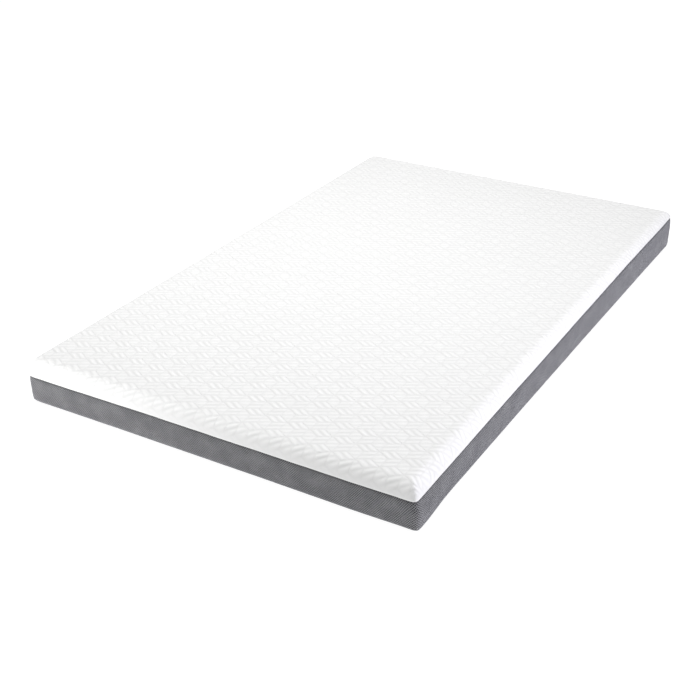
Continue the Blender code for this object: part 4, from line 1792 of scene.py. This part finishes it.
@dataclass
class Zip:
    """The zip across the far end: tapes, coils, stops, end patches, slider and pull tab."""

    tooth_pitch: float = 0.0015
    tooth_radius: float = 0.00052
    ridge_spans: tuple[tuple[float, float], tuple[float, float]] = ((0.0035, 0.0043), (0.0135, 0.0145))
    ridge_rise: float = 0.0002
    ridge_edge: float = 0.00008

    def build(self) -> None:
        """Make the zip's pieces and dress its CAD metal."""
        zinc = ZincFinish().material()
        light, dark = (0.24, 0.24, 0.25), (0.11, 0.11, 0.12)
        webbing = WovenFinish("zip_webbing", light, dark, thread=0.0007).material()
        nylon = NylonFinish().material()
        for side in ("upper", "lower"):
            self.make_tape(side, webbing)
            self.make_coil(side, nylon)
            self.make_stop("zip_top_stop_" + side, zinc)
        self.make_stop("zip_bottom_stop", zinc)
        for side in ("left", "right"):
            self.make_patch("zip_end_patch_" + side, webbing)
        dress_node("zip_slider", zinc)
        dress_node("zip_pull_tab", zinc)

    def make_tape(self, side: str, cloth: bpy.types.Material) -> None:
        """Make a tape, with the raised rows that hold its coil's stitches.

        Args:
            side: The upper or the lower one.
            cloth: The tape's material.
        """
        low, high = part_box("zip_tape_" + side)
        obj = add_block("woven_tape_" + side, low, high)
        pick(obj)
        edge = low.z if side == "upper" else high.z
        inward = 1 if side == "upper" else -1
        bpy.ops.object.mode_set(mode="EDIT")
        for distance in (limit for span in self.ridge_spans for limit in span):
            bpy.ops.mesh.select_all(action="SELECT")
            bpy.ops.mesh.bisect(plane_co=(0, 0, edge + inward * distance), plane_no=(0, 0, 1))
        leave_edit()

        def on_ridge(face: bpy.types.MeshPolygon) -> bool:
            """Say whether a face is one of the raised rows."""
            middles = (edge + inward * sum(span) / 2 for span in self.ridge_spans)
            return face.normal.y > 0.9 and min(abs(face.center.z - z) for z in middles) < 2e-4

        select_faces(obj, on_ridge)
        extrude_picked(0, self.ridge_rise, 0)
        leave_edit()
        round_folds(obj, self.ridge_edge)
        soften(obj)
        hand_over(obj, cloth, "webbing", "zip_tape_" + side)

    def make_coil(self, side: str, nylon: bpy.types.Material) -> None:
        """Make a coil as a row of rounded nylon turns, each with one leg behind the other.

        Args:
            side: The upper or the lower one.
            nylon: The coil's material.
        """
        low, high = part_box("zip_coil_" + side)
        reach = high.z - low.z
        middle = (low + high) / 2
        count = int((high.x - low.x) / self.tooth_pitch)
        first = middle.x - self.tooth_pitch * (count - 1) / 2
        if side == "lower":
            count, first = count - 1, first + self.tooth_pitch / 2
        clear_selection()
        place = (first, high.y - self.tooth_radius, middle.z)
        bpy.ops.mesh.primitive_cylinder_add(
            vertices=8, radius=self.tooth_radius, depth=reach, end_fill_type="NGON", location=place
        )
        obj = named("nylon_coil_" + side)
        select_edges(obj, lambda a, b: abs(a.z - b.z) < 1e-7)
        round_picked(self.tooth_radius * 0.5, 1)
        pick(obj)
        bpy.ops.object.duplicate()
        under = bpy.context.object
        behind = np.array([0.0, high.y - low.y - 2 * self.tooth_radius, 0.0])
        move_points(under, points_of(under) - behind)
        obj.select_set(True)
        bpy.context.view_layer.objects.active = obj
        bpy.ops.object.join()
        step = {"use_constant_offset": True, "constant_offset_displace": (self.tooth_pitch, 0, 0)}
        apply_modifier(obj, "ARRAY", count=count, use_relative_offset=False, **step)
        soften(obj, 50)
        hand_over(obj, nylon, "zip_nylon", "zip_coil_" + side)

    def make_stop(self, node: str, zinc: bpy.types.Material) -> None:
        """Make a stop as a small clamped staple with rounded shoulders.

        Args:
            node: The CAD node that it stands for.
            zinc: The stop's material.
        """
        low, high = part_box(node)
        obj = add_block(node.replace("zip_", "clamped_"), low, high)
        select_faces(obj, lambda face: face.normal.y > 0.9)
        inset_picked((0.0007, -0.0003))
        round_folds(obj, 0.0003)
        soften(obj)
        hand_over(obj, zinc, "zip_metal", node)

    def make_patch(self, node: str, cloth: bpy.types.Material) -> None:
        """Make the folded patch that covers one end of the zip.

        Args:
            node: The CAD node that it stands for.
            cloth: The patch's material.
        """
        low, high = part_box(node)
        obj = add_block(node.replace("zip_end", "folded_end"), low, high)
        select_faces(obj, lambda face: face.normal.y > 0.9)
        inset_picked((0.0016, 0.0), (0.0005, -0.0003), (0.0005, 0.0003))
        round_folds(obj, 0.0004, 60.0)
        soften(obj)
        hand_over(obj, cloth, "webbing", node)


# ---------------------------------------------------------------- the label


@dataclass
class CareLabel:
    """The blank woven label, a folded loop that hangs from the top seam at the far end.

    The drop is how far below the seam it starts, and clear is the gap behind it there.
    """

    curl: float = 0.0022
    cloth: float = 0.0004
    fold: float = 0.0008
    clear: float = 0.0004
    drop: float = 0.0012
    fold_round: float = 0.0004

    def build(self, cover: Cover) -> None:
        """Make the label.

        Args:
            cover: The cover that it is sewn to.
        """
        low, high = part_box("care_label")
        obj = add_cloth("blank_label", 12, 40)
        unit = points_of(obj)
        across, along = unit[:, 0] + 0.5, unit[:, 1] * 2
        down = 1.0 - np.sqrt(along**2 + self.fold_round)
        shape = cover.shape
        x = high.x - across * (high.x - low.x)
        seam = shape.seam_height(x, np.full_like(x, shape.half_length))
        z = seam - self.drop - down * (high.z - low.z)
        reach, _ = shape.section(shape.run_at(z), 0.0)
        leaf = self.fold * (1.0 + np.tanh(along * 14.0)) / 2
        waves = 0.6 + 0.4 * np.sin(math.pi * across * 1.3 + 0.4)
        lift = self.clear + leaf + self.curl * down**2 * waves
        lay = cover.upper_lay
        tuck = lay.tuck * np.exp(-np.maximum(seam - z, 0) / lay.tuck_reach)
        move_points(obj, np.column_stack([x, shape.core_length + reach + lift - tuck, z]))
        write_cloth_map(obj, np.column_stack([x, unit[:, 1] * 2 * (high.z - low.z)]))
        thicken(obj, self.cloth, 0.0001)
        soften(obj, 60)
        light, dark = (0.86, 0.86, 0.85), (0.68, 0.68, 0.67)
        satin = {"thread": 0.0005, "rise": 0.00012, "roughness": 0.55, "lean": 0.25}
        finish = WovenFinish("label_satin", light, dark, coordinates=Coordinates.CLOTH, **satin)
        hand_over(obj, finish.material(), "label_cloth", "care_label")


# ---------------------------------------------------------------- the studio


@dataclass
class Studio:
    """The pale floor, the soft lights and the camera."""

    white: Colour = (1.0, 1.0, 1.0)
    cool: Colour = (0.91, 0.895, 1.0)
    world_strength: float = 0.36
    floor_size: float = 60.0
    floor_height: float = -0.0006
    floor_grey: float = 0.20
    floor_glow: float = 0.93
    camera_place: Point = (1.6126, -2.9272, 1.7056)
    heading: float = 30.894
    pitch: float = 28.805
    roll: float = -0.572
    lens: float = 61.46
    sensor_width: float = 36.0

    def build(self) -> None:
        """Make the floor, the lights and the camera."""
        self.make_floor()
        self.make_world()
        lights = (
            ("overhead_softbox", (-0.45, 0.05, 3.0), (-0.2, 0.0, 0.0), (2.4, 2.4), 93.0, self.white),
            ("left_softbox", (-0.75, -1.80, 0.07), (-0.48, -0.95, 0.05), (0.8, 0.1), 7.4, self.white),
            ("right_softbox", (2.7, -0.2, 0.35), (0.6, -0.2, 0.05), (1.6, 0.6), 35.0, self.cool),
        )
        for light in lights:
            self.add_light(*light)
        self.make_camera()

    def make_floor(self) -> None:
        """Make the plain pale floor."""
        clear_selection()
        bpy.ops.mesh.primitive_plane_add(size=self.floor_size, location=(0, 0, self.floor_height))
        floor = named("studio_floor")
        recipe = Recipe("pale_floor")
        glow = {"Emission_Color": (*self.white, 1.0), "Emission_Strength": self.floor_glow}
        recipe.finished((self.floor_grey,) * 3, 0.9, None, **glow)
        beneath = recipe.node("ShaderNodeNewGeometry", {}, {}).outputs["Backfacing"]
        clear = recipe.node("ShaderNodeBsdfTransparent", {}, {}).outputs[0]
        inputs = {0: beneath, 1: recipe.shader.outputs[0], 2: clear}
        mixed = recipe.node("ShaderNodeMixShader", {}, inputs)
        recipe.tree.links.new(mixed.outputs[0], recipe.tree.nodes["Material Output"].inputs[0])
        floor.data.materials.append(recipe.material)

    def make_world(self) -> None:
        """Light the scene evenly from all round."""
        world = bpy.data.worlds.new("studio_air")
        world.use_nodes = True
        background = world.node_tree.nodes["Background"]
        background.inputs["Color"].default_value = (*self.white, 1.0)
        background.inputs["Strength"].default_value = self.world_strength
        bpy.context.scene.world = world
        bpy.context.scene.view_settings.view_transform = "Standard"

    def add_light(
        self,
        name: str,
        place: Point,
        target: Point,
        size: tuple[float, float],
        power: float,
        colour: Colour,
    ) -> None:
        """Add a soft rectangular light.

        Args:
            name: The light's name.
            place: Where it hangs.
            target: What it points at.
            size: Its width and height in metres.
            power: Its power in watts.
            colour: Its colour.
        """
        clear_selection()
        bpy.ops.object.light_add(type="AREA", location=place)
        light = bpy.context.object
        light.name = name
        light.data.shape = "RECTANGLE"
        light.data.size, light.data.size_y = size
        light.data.energy = power
        light.data.color = colour
        light.visible_camera = False
        light.rotation_euler = (Vector(target) - Vector(place)).to_track_quat("-Z", "Y").to_euler()

    def make_camera(self) -> None:
        """Make the camera at its viewing angle."""
        clear_selection()
        turn = Euler((math.radians(90 - self.pitch), 0.0, math.radians(self.heading))).to_matrix()
        turn = turn @ Euler((0.0, 0.0, math.radians(self.roll))).to_matrix()
        bpy.ops.object.camera_add(location=self.camera_place, rotation=turn.to_euler())
        camera = bpy.context.object
        camera.name = "studio_camera"
        camera.data.lens = self.lens
        camera.data.sensor_width = self.sensor_width
        bpy.context.scene.camera = camera


def main() -> None:
    """Build the looks in order."""
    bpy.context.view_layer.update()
    Studio().build()
    cover = Cover()
    cover.build()
    Stitching().build(cover)
    Core().build()
    Zip().build()
    CareLabel().build(cover)


if __name__ == "__main__":
    main()
